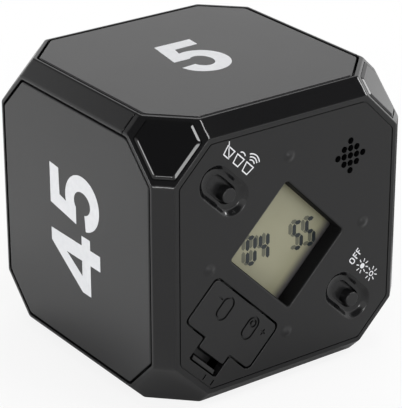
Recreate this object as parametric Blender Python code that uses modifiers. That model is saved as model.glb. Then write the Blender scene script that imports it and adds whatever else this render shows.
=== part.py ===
"""Cube timer: a desk timer in a cube with cut corners, set by turning a numbered face up.

The display face looks along -Y and the cube stands on its -Z face. Each face has its own frame,
an empty on the face with its z axis pointing out, so a place inside the cube is a depth below it.
The display, battery door and switches lie on a second front frame, turned by an eighth turn.
"""

import math

import bmesh
import bpy
from mathutils import Matrix, Vector

# The cube
CUBE_SIDE = 0.065
EDGE_CHAMFER = 0.0034
CORNER_CUT = 0.0152
EDGE_ROUND = 0.0009
SEAT_GAP = 0.0003
JOIN_LAP = 0.0002
OVERRUN = 0.001

# Shells
FACE_WALL = 0.0020
BED_WALL = 0.0015
CORNER_WALL = 0.0033
SEAM_DEPTH = 0.0137
LIP_WALL = 0.0009
LIP_REACH = 0.0025
LIP_ROOT = 0.0040
SCREW_TOWER_RADIUS = 0.0029
SCREW_TOWER_INSET = 0.0007
SCREW_TOWER_REACH = 0.0045
PILOT_RADIUS = 0.0013
COUNTERBORE_RADIUS = 0.0026
COUNTERBORE_WALL = 0.0008
TOWER_FLOOR = 0.0030
TOWER_RIB = 0.0012

# Number plates
PLATE_HALF = 0.0280
PLATE_CORNER = 0.0080
PLATE_ROUND = 0.0012
PLATE_THICKNESS = 0.0016
PLATE_EDGE = 0.0002
PLATE_GAP = 0.0004
PEG_RADIUS = 0.0012
PEG_LENGTH = 0.0015
PEG_ACROSS = 0.0160
PEG_ALONG = 0.0120

# Corner lenses
LENS_LONG_IN = 0.0053
LENS_SHORT_IN = 0.0067
LENS_RISE = 0.0002
LENS_SINK = 0.0005
LENS_EDGE = 0.0003
LENS_GAP = 0.0001
LENS_PLUG_RADIUS = 0.0027
LENS_PLUG_END = 0.0006
LED_SINK = 0.0020
LED_RADIUS = 0.0015
LED_RIM = 0.0002
LED_RIM_HEIGHT = 0.0008
LED_LENGTH = 0.0044
LED_LEAD_RADIUS = 0.00025
LED_LEAD_PITCH = 0.00127
LED_LEAD_DROP = 0.0014
LED_LEAD_LANDING = 0.0265
LED_LEAD_CROSSING = 0.0016

# Display
WINDOW_ALONG = 0.0216
WINDOW_ACROSS = 0.0203
WINDOW_ROUND = 0.0006
WINDOW_COLLAR = 0.0012
DISPLAY_DEPTH = 0.0043
GLASS_MARGIN = 0.0010
GLASS_THICKNESS = 0.0019
HOLDER_WALL = 0.0010
HOLDER_LEDGE = 0.0034
ZEBRA_WIDTH = 0.0016
ZEBRA_HEIGHT = 0.0014
ZEBRA_INSET = 0.0007
ZEBRA_END = 0.0020

# Circuit board
BOARD_THICKNESS = 0.0012
BOARD_CLEARANCE = 0.0004
BOARD_CORNER = 0.0140
POST_ALONG = 0.0158
POST_ACROSS = 0.0123
POST_RADIUS = 0.0022
POST_PILOT = 0.0010
SCREW_LENGTH = 0.0045
CHIP_RADIUS = 0.0050
CHIP_HEIGHT = 0.0018
CRYSTAL_RADIUS = 0.00105
CRYSTAL_LENGTH = 0.0060
CRYSTAL_ALONG = -0.0085
CRYSTAL_ACROSS = 0.0070
CAPACITOR_RADIUS = 0.0025
CAPACITOR_HEIGHT = 0.0055
CAPACITOR_ALONG = 0.0100
CAPACITOR_PITCH = 0.0065
TILT_RADIUS = 0.0023
TILT_LENGTH = 0.0070
TILT_ALONG = -0.0050
TILT_ACROSS = 0.0170

# Sounder
SOUNDER_OFFSET = 0.0233
SOUNDER_RADIUS = 0.0060
SOUNDER_HEIGHT = 0.0053
SOUNDER_MOUTH = 0.0012
SOUNDER_COLLAR = 0.0010
SOUNDER_COLLAR_REACH = 0.0020
GRILLE_PITCH = 0.0017
GRILLE_RADIUS = 0.00066

# Slide switches
SWITCH_OFFSET = 0.0238
DISH_RADIUS = 0.0041
DISH_STRAIGHT = 0.0030
DISH_DEPTH = 0.0011
DISH_SLOPE = 0.0014
KNOB_RADIUS = 0.0017
KNOB_ROUND = 0.0003
KNOB_STEP = 0.0020
KNOB_CLEARANCE = 0.00045
KNOB_PLATE_WIDTH = 0.0052
KNOB_PLATE_MARGIN = 0.0002
KNOB_PLATE_THICKNESS = 0.0008
KNOB_SOCKET = 0.0018
SOCKET_WALL = 0.0006
LEVER_SIDE = 0.0012
LEVER_FOOT_LENGTH = 0.0028
LEVER_FOOT_WIDTH = 0.0018
LEVER_FOOT_THICKNESS = 0.0008
SWITCH_LENGTH = 0.0090
SWITCH_WIDTH = 0.0038
SWITCH_HEIGHT = 0.0029
SWITCH_WALL = 0.0006

# Feet of the display face
NUB_OFFSET = 0.0205
NUB_RADIUS = 0.0015
NUB_HEIGHT = 0.0005

# Batteries: two AAA cells side by side, standing end on to the display face
CELL_RADIUS = 0.00525
CELL_LENGTH = 0.0445
CELL_BUTTON_RADIUS = 0.0019
CELL_BUTTON_HEIGHT = 0.0008
CELL_SPACING = 0.0005
CELL_ROUND = 0.0005
CELL_CLEARANCE = 0.0003
BOX_WALL = 0.0011
BOX_ROUND = 0.0040
BOX_FLOOR = 0.0012
BOX_RIB = 0.0009
BOX_RIB_LENGTH = 0.0080
BOX_RIB_HEIGHT = 0.0025
STOP_RIB = 0.0012
STOP_RIB_LENGTH = 0.0090
STOP_RIB_ALONG = 0.0098
CONTACT_THICKNESS = 0.0004
CONTACT_SIDE = 0.0084
CONTACT_TAG_WIDTH = 0.0020
CONTACT_TAG_REACH = 0.0020
SPRING_RADIUS = 0.0026
SPRING_TOP_SHARE = 0.7
SPRING_WIRE = 0.0002
SPRING_LENGTH = 0.0034
SPRING_TURNS = 4
SPRING_FLAT_TURN = 0.4
WIRE_RADIUS = 0.0006
WIRE_STANDOFF = 0.0016

# Battery door
DOOR_LENGTH = 0.0234
DOOR_WIDTH = 0.0120
DOOR_CENTRE = 0.0204
DOOR_ROUND = 0.0015
DOOR_GAP = 0.0002
DOOR_EDGE = 0.0002
TONGUE_WIDTH = 0.0095
TONGUE_LENGTH = 0.0025
TONGUE_ROUND = 0.0006
FINGER_SLOT = 0.0028
TAB_WIDTH = 0.0040
TAB_THICKNESS = 0.0011
TAB_REACH = 0.0011
TAB_ROOT = 0.0012
TAB_NOTCH = 0.0004
LATCH_THICKNESS = 0.0008
LATCH_WIDTH = 0.0076
LATCH_DEPTH = 0.0045
LATCH_TOP = 0.0008
LATCH_END_GAP = 0.0007
DOOR_CONTACT_LENGTH = 0.0180
DOOR_CONTACT_WIDTH = 0.0070
CATCH_GROOVE_WIDTH = 0.0004
CATCH_GROOVE_DEPTH = 0.0004
CATCH_GROOVE_LENGTH = 0.0030
CATCH_GROOVE_ALONG = 0.0020

# Moulded line round the display face
LINE_HALF = 0.02815
LINE_CORNER = 0.0080
LINE_WIDTH = 0.0003
LINE_DEPTH = 0.0002

# Facets of round pieces
ROUND_STEPS = 24
SMALL_STEPS = 16
HOLE_STEPS = 12
WIRE_STEPS = 8
ARC_STEPS = 3

# Worked out from the sizes above
HALF = CUBE_SIDE / 2
EDGE_SUM = CUBE_SIDE - EDGE_CHAMFER
CORNER_SUM = 3 * HALF - CORNER_CUT
CORNER_REACH = CORNER_SUM / math.sqrt(3)
PLATE_RECESS = PLATE_THICKNESS + SEAT_GAP
INNER_HALF = HALF - PLATE_RECESS - BED_WALL
INNER_CORNER_SUM = CORNER_SUM - CORNER_WALL * math.sqrt(3)
LIP_HALF = INNER_HALF - SEAT_GAP
LIP_INNER_HALF = LIP_HALF - LIP_WALL
TOWER_OFFSET = INNER_HALF - SCREW_TOWER_RADIUS - SCREW_TOWER_INSET
TOWER_END = SEAM_DEPTH + SCREW_TOWER_REACH
COLLAR_DEPTH = DISPLAY_DEPTH - SEAT_GAP
GLASS_ALONG = WINDOW_ALONG + 2 * GLASS_MARGIN
GLASS_ACROSS = WINDOW_ACROSS + 2 * GLASS_MARGIN
GLASS_BACK = DISPLAY_DEPTH + GLASS_THICKNESS
BOARD_DEPTH = GLASS_BACK + ZEBRA_HEIGHT + 2 * SEAT_GAP
BOARD_BACK = BOARD_DEPTH + BOARD_THICKNESS
PARTS_DEPTH = BOARD_BACK + SEAT_GAP
LEAD_CROSSING = BOARD_BACK + LED_LEAD_CROSSING
KNOB_PLATE_DEPTH = FACE_WALL + SEAT_GAP
KNOB_PLATE_BACK = KNOB_PLATE_DEPTH + KNOB_PLATE_THICKNESS
KNOB_SLOT_HALF = KNOB_STEP + KNOB_RADIUS + KNOB_CLEARANCE
SWITCH_TOP = BOARD_DEPTH - SEAT_GAP - SWITCH_HEIGHT
KNOB_BOSS_END = SWITCH_TOP - SEAT_GAP
CELL_ALONG = CELL_RADIUS + CELL_SPACING / 2
BOX_INNER_ALONG = CELL_ALONG + CELL_RADIUS + CELL_CLEARANCE
BOX_INNER_ACROSS = CELL_RADIUS + CELL_CLEARANCE
DOOR_THICKNESS = FACE_WALL
BOX_TOP = FACE_WALL + SEAT_GAP
DOOR_CONTACT_DEPTH = DOOR_THICKNESS + SEAT_GAP
DOOR_CONTACT_BACK = DOOR_CONTACT_DEPTH + CONTACT_THICKNESS
BUTTON_UP_DEPTH = DOOR_CONTACT_BACK + SEAT_GAP
BUTTON_DOWN_DEPTH = DOOR_CONTACT_BACK + SPRING_LENGTH + 2 * SEAT_GAP
INNER_CONTACT_DEPTH = BUTTON_DOWN_DEPTH + CELL_LENGTH + SEAT_GAP
BOX_FLOOR_DEPTH = INNER_CONTACT_DEPTH + CONTACT_THICKNESS + SEAT_GAP
BOX_END = BOX_FLOOR_DEPTH + BOX_FLOOR
HINGE_ACROSS = DOOR_WIDTH / 2 - DOOR_CENTRE - DOOR_GAP
TONGUE_END = DOOR_WIDTH - 2 * DOOR_GAP + TONGUE_LENGTH
SLOT_END = TONGUE_END + DOOR_GAP + FINGER_SLOT
DIAGONAL = math.radians(45)
DOWN = math.radians(180)
UPRIGHT = math.radians(90)

# Colours and finishes: base colour, roughness, metallic
FINISHES = {
    "gloss_black": ((0.012, 0.012, 0.013), 0.12, 0.0),
    "satin_black": ((0.020, 0.020, 0.021), 0.34, 0.0),
    "lens_black": ((0.006, 0.006, 0.007), 0.04, 0.0),
    "display_glass": ((0.26, 0.25, 0.17), 0.20, 0.0),
    "white_moulding": ((0.75, 0.75, 0.72), 0.50, 0.0),
    "zebra_rubber": ((0.55, 0.20, 0.20), 0.70, 0.0),
    "board_green": ((0.02, 0.14, 0.05), 0.45, 0.0),
    "epoxy_black": ((0.01, 0.01, 0.01), 0.25, 0.0),
    "tin_plate": ((0.62, 0.62, 0.60), 0.30, 1.0),
    "spring_steel": ((0.56, 0.56, 0.55), 0.25, 1.0),
    "zinc_screw": ((0.50, 0.50, 0.50), 0.35, 1.0),
    "led_epoxy": ((0.85, 0.85, 0.80), 0.15, 0.0),
    "cell_sleeve": ((0.16, 0.17, 0.19), 0.30, 0.0),
    "red_insulation": ((0.45, 0.02, 0.02), 0.45, 0.0),
    "black_insulation": ((0.02, 0.02, 0.02), 0.45, 0.0),
}

for old in list(bpy.data.objects):
    bpy.data.objects.remove(old, do_unlink=True)

timer = bpy.data.collections.new("cube_timer")
cutters = bpy.data.collections.new("cutters")
workbench = bpy.context.scene.collection


def finish(name):
    """The shared material of that finish, made at its first use."""
    material = bpy.data.materials.get(name)
    if material is None:
        colour, roughness, metallic = FINISHES[name]
        material = bpy.data.materials.new(name)
        material.use_nodes = True
        shader = material.node_tree.nodes["Principled BSDF"]
        shader.inputs["Base Color"].default_value = (*colour, 1)
        shader.inputs["Roughness"].default_value = roughness
        shader.inputs["Metallic"].default_value = metallic
    return material


def frame_at(name, parent, location, rotation):
    """An empty that carries the pieces of one face, with its z axis out of the cube."""
    empty = bpy.data.objects.new(name, None)
    timer.objects.link(empty)
    empty.parent = parent
    empty.location = location
    empty.rotation_mode = "QUATERNION"
    empty.rotation_quaternion = rotation
    return empty


def facing(outward, up):
    """The rotation that turns z to outward and y to the side of up."""
    z = Vector(outward).normalized()
    x = Vector(up).cross(z).normalized()
    y = z.cross(x)
    return Matrix((x, y, z)).transposed().to_quaternion()


cube = frame_at("cube_centre", None, (0, NUB_HEIGHT / 2, HALF), facing((0, 0, 1), (0, 1, 0)))
FACES = {
    "front": ((0, -1, 0), (0, 0, 1)),
    "back": ((0, 1, 0), (0, 0, 1)),
    "left": ((-1, 0, 0), (0, 1, 0)),
    "right": ((1, 0, 0), (0, 1, 0)),
    "top": ((0, 0, 1), (0, 1, 0)),
    "bottom": ((0, 0, -1), (0, 1, 0)),
}
face = {
    side: frame_at(side + "_face", cube, Vector(outward) * HALF, facing(outward, up))
    for side, (outward, up) in FACES.items()
}
front = face["front"]
diagonal = frame_at("front_diagonal", front, (0, 0, 0), Matrix.Rotation(-DIAGONAL, 3, "Z").to_quaternion())
CORNERS = {
    "front_top_left": (-1, -1, 1),
    "front_top_right": (1, -1, 1),
    "front_bottom_right": (1, -1, -1),
    "front_bottom_left": (-1, -1, -1),
    "back_top_left": (-1, 1, 1),
    "back_top_right": (1, 1, 1),
    "back_bottom_right": (1, 1, -1),
    "back_bottom_left": (-1, 1, -1),
}
LIT_CORNERS = ("front_top_left", "front_top_right", "front_bottom_right")
corner = {
    name: frame_at(name, cube, Vector(way).normalized() * CORNER_REACH, facing(way, (0, way[1], 0)))
    for name, way in CORNERS.items()
}


def place(name, mesh, frame, at, material):
    """A named object of the model, or a hidden cutter where it has no material."""
    piece = bpy.data.objects.new(name, mesh)
    piece.parent = frame
    piece.location = at
    if material is None:
        cutters.objects.link(piece)
        piece.hide_render = True
        piece.display_type = "WIRE"
    else:
        timer.objects.link(piece)
        mesh.materials.clear()
        mesh.materials.append(finish(material))
    return piece


def evaluated_mesh(piece):
    """A plain mesh of an object with its curve and modifiers worked out, in its own axes."""
    bpy.context.view_layer.update()
    graph = bpy.context.evaluated_depsgraph_get()
    return bpy.data.meshes.new_from_object(piece.evaluated_get(graph))


def cleaned(mesh):
    """Caps welded, flat facets merged, faces turned outward."""
    shape = bmesh.new()
    shape.from_mesh(mesh)
    bmesh.ops.remove_doubles(shape, verts=shape.verts, dist=WELD)
    bmesh.ops.dissolve_limit(shape, angle_limit=FLAT_ANGLE, verts=shape.verts, edges=shape.edges)
    bmesh.ops.recalc_face_normals(shape, faces=shape.faces)
    shape.to_mesh(mesh)
    shape.free()
    return mesh


WELD = 0.000001
FLAT_ANGLE = math.radians(0.05)
SMOOTH_ANGLE = math.radians(35)


def arc(centre, radius, start, end, steps):
    """Points on a circle from one angle to another."""
    turns = [start + (end - start) * i / steps for i in range(steps + 1)]
    return [(centre[0] + radius * math.cos(t), centre[1] + radius * math.sin(t)) for t in turns]


def rounded(corners, radius, steps=ARC_STEPS):
    """A closed outline with each corner replaced by an arc tangent to its two sides."""
    points = []
    for i, here in enumerate(corners):
        here = Vector(here)
        back = (Vector(corners[i - 1]) - here).normalized()
        ahead = (Vector(corners[(i + 1) % len(corners)]) - here).normalized()
        half_angle = back.angle(ahead) / 2
        centre = here + (back + ahead).normalized() * radius / math.sin(half_angle)
        first = here + back * radius / math.tan(half_angle) - centre
        last = here + ahead * radius / math.tan(half_angle) - centre
        sweep = first.angle_signed(last)
        for k in range(steps + 1):
            spoke = Matrix.Rotation(-sweep * k / steps, 2) @ first
            points.append(tuple(centre + spoke))
    return points


def rectangle(along, across, centre=(0, 0)):
    """Corners of a rectangle of that full length and width."""
    x, y = centre
    return [
        (x - along / 2, y - across / 2),
        (x + along / 2, y - across / 2),
        (x + along / 2, y + across / 2),
        (x - along / 2, y + across / 2),
    ]


def octagon(half, leg):
    """A square of that half side with its corners cut back by leg."""
    near = half - leg
    quarter = [(half, -near), (half, near)]
    turned_quarters = []
    for turn in range(4):
        spin = Matrix.Rotation(turn * UPRIGHT, 2)
        turned_quarters += [tuple(spin @ Vector(p)) for p in quarter]
    return turned_quarters


def hexagon(long_in, short_in):
    """Three long sides and three short ones by turns, at those distances from the middle."""
    points = []
    for i in range(6):
        first, second = (long_in, short_in) if i % 2 == 0 else (short_in, long_in)
        turn = UPRIGHT + i * math.radians(60)
        side = (second - first * math.cos(math.radians(60))) / math.sin(math.radians(60))
        along, out = Vector((-math.sin(turn), math.cos(turn))), Vector((math.cos(turn), math.sin(turn)))
        points.append(tuple(out * first + along * side))
    return points


def stadium(straight, radius, centre=(0, 0), steps=ROUND_STEPS // 2):
    """Two half circles joined by straight sides, long along x."""
    x, y = centre
    right = arc((x + straight, y), radius, -UPRIGHT, UPRIGHT, steps)
    left = arc((x - straight, y), radius, UPRIGHT, 3 * UPRIGHT, steps)
    return right + left


def circle(radius, centre=(0, 0), steps=ROUND_STEPS):
    """A closed ring of points."""
    return arc(centre, radius, 0, 4 * UPRIGHT, steps)[:-1]


def prism(name, outline, top, bottom, frame, material=None, at=(0, 0, 0), axis="Z"):
    """A flat outline given a thickness between two depths, as a filled curve that is made a mesh."""
    curve = bpy.data.curves.new(name, "CURVE")
    curve.dimensions = "2D"
    curve.fill_mode = "BOTH"
    curve.extrude = (bottom - top) / 2
    spline = curve.splines.new("POLY")
    spline.points.add(len(outline) - 1)
    spline.use_cyclic_u = True
    for point, (x, y) in zip(spline.points, outline):
        point.co = (x, y, 0, 1)
    drawn = bpy.data.objects.new(name + "_curve", curve)
    workbench.objects.link(drawn)
    mesh = cleaned(evaluated_mesh(drawn))
    bpy.data.objects.remove(drawn)
    bpy.data.curves.remove(curve)
    mesh.transform(Matrix.Translation((0, 0, -(top + bottom) / 2)))
    if axis == "X":
        mesh.transform(Matrix.Rotation(UPRIGHT, 4, "Z") @ Matrix.Rotation(UPRIGHT, 4, "X"))
    return place(name, mesh, frame, at, material)


def turned(name, profile, frame, material=None, at=(0, 0, 0), steps=ROUND_STEPS, tilt=None):
    """A turned piece: its profile of radius and height runs from the top down its outer side."""
    mesh = bpy.data.meshes.new(name)
    edges = [(i, i + 1) for i in range(len(profile) - 1)]
    mesh.from_pydata([(radius, 0, height) for radius, height in profile], edges, [])
    drawn = bpy.data.objects.new(name + "_profile", mesh)
    workbench.objects.link(drawn)
    screw = drawn.modifiers.new("turn", "SCREW")
    screw.steps = steps
    screw.render_steps = steps
    screw.merge_threshold = WELD
    screw.use_merge_vertices = True
    shape = cleaned(evaluated_mesh(drawn))
    bpy.data.objects.remove(drawn)
    bpy.data.meshes.remove(mesh)
    if tilt is not None:
        shape.transform(tilt)
    shape.shade_smooth()
    shape.set_sharp_from_angle(angle=SMOOTH_ANGLE)
    return place(name, shape, frame, at, material)


def tube(name, points, radius, frame, material=None, at=(0, 0, 0)):
    """A round wire along a list of points, mitred at each so that every facet is flat, with closed ends."""
    places = [Vector(point) for point in points]
    runs = [(after - before).normalized() for before, after in zip(places, places[1:])]
    across = runs[0].orthogonal().normalized() * radius
    steps = [2 * math.pi * i / WIRE_STEPS for i in range(WIRE_STEPS)]
    ring = [places[0] + Matrix.Rotation(step, 3, runs[0]) @ across for step in steps]
    corners = list(ring)
    for where, run, following in zip(places[1:], runs, runs[1:] + runs[-1:]):
        mitre = run + following
        ring = [corner + run * ((where - corner).dot(mitre) / run.dot(mitre)) for corner in ring]
        corners += ring
    faces = [range(WIRE_STEPS), range(len(corners) - WIRE_STEPS, len(corners))]
    for start in range(0, len(corners) - WIRE_STEPS, WIRE_STEPS):
        for i in range(WIRE_STEPS):
            near, far = start + i, start + (i + 1) % WIRE_STEPS
            faces.append((near, far, far + WIRE_STEPS, near + WIRE_STEPS))
    mesh = bpy.data.meshes.new(name)
    mesh.from_pydata(corners, [], faces)
    cleaned(mesh)
    mesh.shade_smooth()
    mesh.set_sharp_from_angle(angle=SMOOTH_ANGLE)
    return place(name, mesh, frame, at, material)


def bevel(piece, width, segments=1, angle=math.radians(40)):
    """Rounds or chamfers the edges of a piece that turn more than an angle."""
    modifier = piece.modifiers.new("edge", "BEVEL")
    modifier.width = width
    modifier.segments = segments
    modifier.limit_method = "ANGLE"
    modifier.angle_limit = angle
    return piece


def combine(piece, others, operation):
    """Joins, cuts or keeps the common part of a piece, with other solids that stay hidden."""
    modifier = piece.modifiers.new(operation.lower(), "BOOLEAN")
    modifier.operation = operation
    modifier.solver = "EXACT"
    if len(others) == 1:
        modifier.object = others[0]
        return
    tools = bpy.data.collections.new(piece.name + "_" + operation.lower())
    cutters.children.link(tools)
    for other in others:
        cutters.objects.unlink(other)
        tools.objects.link(other)
    modifier.operand_type = "COLLECTION"
    modifier.collection = tools


def cut(piece, *others):
    combine(piece, others, "DIFFERENCE")


def join(piece, *others):
    combine(piece, others, "UNION")


def repeated(piece, places, material):
    """Numbered copies of a small piece, each its own object, that share the one mesh."""
    name, frame, mesh = piece.name, piece.parent, piece.data
    bpy.data.objects.remove(piece)
    for number, where in enumerate(places, 1):
        place(f"{name}_{number}", mesh, frame, where, material)


# Shells

def slice_off(shape, normal, distance):
    """Cuts away what lies past a plane and closes the cut with one face."""
    way = Vector(normal).normalized()
    everything = shape.verts[:] + shape.edges[:] + shape.faces[:]
    done = bmesh.ops.bisect_plane(
        shape, geom=everything, plane_co=way * distance, plane_no=way, clear_outer=True
    )
    rim = [part for part in done["geom_cut"] if isinstance(part, bmesh.types.BMEdge)]
    if rim:
        bmesh.ops.contextual_create(shape, geom=rim)


def trimmed_block(name, side_half, front_half, edge_sum, corner_sum, material=None):
    """A block round the cube's middle with chamfered edges and cut corners."""
    shape = bmesh.new()
    bmesh.ops.create_cube(shape, size=2 * side_half)
    for vertex in shape.verts:
        if vertex.co.y < 0:
            vertex.co.y = -front_half
    signs = (-1, 1)
    if edge_sum:
        for first in signs:
            for second in signs:
                for way in ((first, second, 0), (first, 0, second), (0, first, second)):
                    slice_off(shape, way, edge_sum / math.sqrt(2))
    for way in CORNERS.values():
        slice_off(shape, way, corner_sum / math.sqrt(3))
    bmesh.ops.recalc_face_normals(shape, faces=shape.faces)
    mesh = bpy.data.meshes.new(name)
    shape.to_mesh(mesh)
    shape.free()
    return place(name, mesh, cube, (0, 0, 0), material)


def hollow_cube(name, material, top, bottom):
    """The outer skin of the cube, with all between those two depths taken off."""
    body = trimmed_block(name, HALF, HALF, EDGE_SUM, CORNER_SUM, material)
    bevel(body, EDGE_ROUND, 2, math.radians(20))
    cavity = trimmed_block(name + "_cavity", INNER_HALF, HALF - FACE_WALL, None, INNER_CORNER_SUM)
    rest = prism(name + "_rest", rectangle(2 * CUBE_SIDE, 2 * CUBE_SIDE), top, bottom, front)
    cut(body, cavity, rest)
    return body


def plate_outline(extra):
    """The eight-sided outline of a number plate, grown by extra all round."""
    grown_corner = PLATE_CORNER + extra * (2 - math.sqrt(2))
    return rounded(octagon(PLATE_HALF + extra, grown_corner), PLATE_ROUND + extra)


def plate_beds(sides):
    """Cutters for the beds that the number plates lie in, and for their peg holes."""
    tools = []
    for side in sides:
        bed = prism(side + "_bed", plate_outline(PLATE_GAP), -OVERRUN, PLATE_RECESS, face[side])
        tools.append(bed)
        for x, y in rectangle(2 * PEG_ACROSS, 2 * PEG_ALONG):
            hole = circle(PEG_RADIUS + SEAT_GAP, (x, y), HOLE_STEPS)
            end = HALF - INNER_HALF + OVERRUN
            tools.append(prism(side + "_peg_hole", hole, PLATE_THICKNESS, end, face[side]))
    return tools


def corner_mark(name):
    """The raised six-sided pad that a corner without a lens has moulded on."""
    pad = prism(name + "_pad", hexagon(LENS_LONG_IN, LENS_SHORT_IN), -LENS_RISE, OVERRUN, corner[name])
    return bevel(pad, LENS_RISE, 1)


def tower_places():
    """The four screw towers stand at the middles of the sides, as x and y of the front frame."""
    return [(TOWER_OFFSET, 0), (0, TOWER_OFFSET), (-TOWER_OFFSET, 0), (0, -TOWER_OFFSET)]


def seam_lip():
    """The lip of the front shell that locates the rear shell on the inside of the seam."""
    root = rounded(octagon(INNER_HALF + OVERRUN / 2, LIP_ROOT), OVERRUN)
    reach = rounded(octagon(LIP_HALF, LIP_ROOT), OVERRUN)
    opening = rounded(octagon(LIP_INNER_HALF, LIP_ROOT), OVERRUN)
    lip = prism("lip", reach, SEAM_DEPTH - LIP_ROOT, SEAM_DEPTH + LIP_REACH, front)
    join(lip, prism("lip_root", root, SEAM_DEPTH - LIP_ROOT - OVERRUN, SEAM_DEPTH - 2 * SEAT_GAP, front))
    cut(lip, prism("lip_opening", opening, 0, SEAM_DEPTH + LIP_REACH + OVERRUN, front))
    limit = trimmed_block("lip_limit", INNER_HALF + OVERRUN / 2, HALF, None, INNER_CORNER_SUM + OVERRUN / 2)
    combine(lip, [limit], "INTERSECT")
    return lip


def display_window(adds, cuts):
    """A collar behind the window walls off the display down to its glass."""
    collar = rectangle(WINDOW_ALONG + 2 * WINDOW_COLLAR, WINDOW_ACROSS + 2 * WINDOW_COLLAR)
    adds.append(prism("window_collar", collar, FACE_WALL / 2, COLLAR_DEPTH, diagonal))
    hole = rounded(rectangle(WINDOW_ALONG, WINDOW_ACROSS), WINDOW_ROUND)
    cuts.append(prism("window", hole, -OVERRUN, COLLAR_DEPTH + OVERRUN, diagonal))


def switch_dish(name, along, cuts):
    """The dish of a slide switch, whose wall slopes in evenly, and the knob's slot through its floor."""
    middle = (along, 0, 0)
    top = DISH_RADIUS + OVERRUN * DISH_SLOPE / DISH_DEPTH
    dish = prism(name + "_dish", stadium(DISH_STRAIGHT, top), -OVERRUN, DISH_DEPTH, diagonal, at=middle)
    narrowing = (DISH_RADIUS - DISH_SLOPE) / top
    for vertex in dish.data.vertices:
        if vertex.co.z < 0:
            centre = min(max(vertex.co.x, -DISH_STRAIGHT), DISH_STRAIGHT)
            vertex.co.x = centre + (vertex.co.x - centre) * narrowing
            vertex.co.y *= narrowing
    slot = stadium(KNOB_STEP, KNOB_RADIUS + KNOB_CLEARANCE, steps=HOLE_STEPS // 2)
    cuts += [dish, prism(name + "_slot", slot, 0, FACE_WALL + OVERRUN, diagonal, at=middle)]


def grille_places():
    """Thirteen holes in a diamond: one, three, five, three and one."""
    steps = range(-2, 3)
    return [(i, j) for i in steps for j in steps if abs(i) + abs(j) <= 2]


def sounder_grille(adds, cuts):
    """The grille holes, and the collar that holds the sounder behind them."""
    ring = circle(SOUNDER_RADIUS + SEAT_GAP + SOUNDER_COLLAR, (0, SOUNDER_OFFSET))
    bore = circle(SOUNDER_RADIUS + SEAT_GAP, (0, SOUNDER_OFFSET))
    end = FACE_WALL + SOUNDER_COLLAR_REACH
    adds.append(prism("sounder_collar", ring, FACE_WALL / 2, end, diagonal))
    cuts.append(prism("sounder_bore", bore, FACE_WALL, end + OVERRUN, diagonal))
    middle = Matrix.Rotation(-DIAGONAL, 2) @ Vector((0, SOUNDER_OFFSET))
    for i, j in grille_places():
        hole = circle(GRILLE_RADIUS, (middle.x + i * GRILLE_PITCH, middle.y + j * GRILLE_PITCH), HOLE_STEPS)
        cuts.append(prism("grille_hole", hole, -OVERRUN, FACE_WALL + OVERRUN, front))


def door_plate(grow):
    """Outline of the door's plate, in axes on its hinge line: across runs to minus y."""
    along, across = DOOR_LENGTH + 2 * (grow - DOOR_GAP), DOOR_WIDTH + 2 * (grow - DOOR_GAP)
    place = (0, DOOR_GAP - DOOR_WIDTH / 2)
    return rounded(rectangle(along, across, place), DOOR_ROUND + grow, 2 * ARC_STEPS)


def strip_outline(width, far, turn):
    """A strip as wide as the tongue, from under the door's plate to a distance from the hinge line."""
    near = DOOR_WIDTH / 2
    return rounded(rectangle(width, far - near, (0, -(near + far) / 2)), turn)


def battery_opening(adds, cuts):
    """The door's opening with its finger slot, the catch grooves and the ribs beside the box."""
    hinge = (0, HINGE_ACROSS, 0)
    through = FACE_WALL + OVERRUN
    cuts.append(prism("door_opening", door_plate(DOOR_GAP), -OVERRUN, through, diagonal, at=hinge))
    slot = strip_outline(TONGUE_WIDTH, SLOT_END, TONGUE_ROUND)
    cuts.append(prism("finger_slot", slot, -OVERRUN, through, diagonal, at=hinge))
    for along in (CATCH_GROOVE_ALONG, (TONGUE_WIDTH - CATCH_GROOVE_WIDTH) / 2):
        middle = (along, -SLOT_END - CATCH_GROOVE_LENGTH / 2 + JOIN_LAP)
        groove = rectangle(CATCH_GROOVE_WIDTH, CATCH_GROOVE_LENGTH, middle)
        cuts.append(prism("catch_groove", groove, -OVERRUN, CATCH_GROOVE_DEPTH, diagonal, at=hinge))
    for side in (-1, 1):
        along = side * (BOX_INNER_ALONG + BOX_WALL + SEAT_GAP + BOX_RIB / 2)
        rib = rectangle(BOX_RIB, BOX_RIB_LENGTH, (along, -DOOR_CENTRE))
        adds.append(prism("box_rib", rib, FACE_WALL / 2, FACE_WALL + BOX_RIB_HEIGHT, diagonal))


def face_line():
    """A fine groove that repeats the outline of the number plates on the display face."""
    outside = rounded(octagon(LINE_HALF, LINE_CORNER), PLATE_ROUND)
    line = prism("face_line", outside, -OVERRUN, LINE_DEPTH, front)
    inside = octagon(LINE_HALF - LINE_WIDTH, LINE_CORNER - LINE_WIDTH * (2 - math.sqrt(2)))
    inside = rounded(inside, PLATE_ROUND)
    cut(line, prism("face_line_inside", inside, -2 * OVERRUN, LINE_DEPTH + OVERRUN, front))
    return line


def lens_seats(cuts):
    """A shallow six-sided seat in each lit corner, with a bore through the wall for the lens's plug."""
    for name in LIT_CORNERS:
        seat = hexagon(LENS_LONG_IN + LENS_GAP, LENS_SHORT_IN + LENS_GAP)
        cuts.append(prism(name + "_seat", seat, -OVERRUN, LENS_SINK + SEAT_GAP, corner[name]))
        bore = circle(LENS_PLUG_RADIUS + SEAT_GAP)
        cuts.append(prism(name + "_bore", bore, 0, CORNER_WALL + OVERRUN, corner[name]))


def dome_profile(radius, height, foot, steps=4):
    """A low dome on a short straight foot."""
    ball = (radius * radius + height * height) / (2 * height)
    spread = math.asin(radius / ball)
    turns = [spread * i / steps for i in range(steps + 1)]
    cap = [(ball * math.sin(t), ball * math.cos(t) + height - ball) for t in turns]
    return cap + [(radius, -foot), (0, -foot)]


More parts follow.
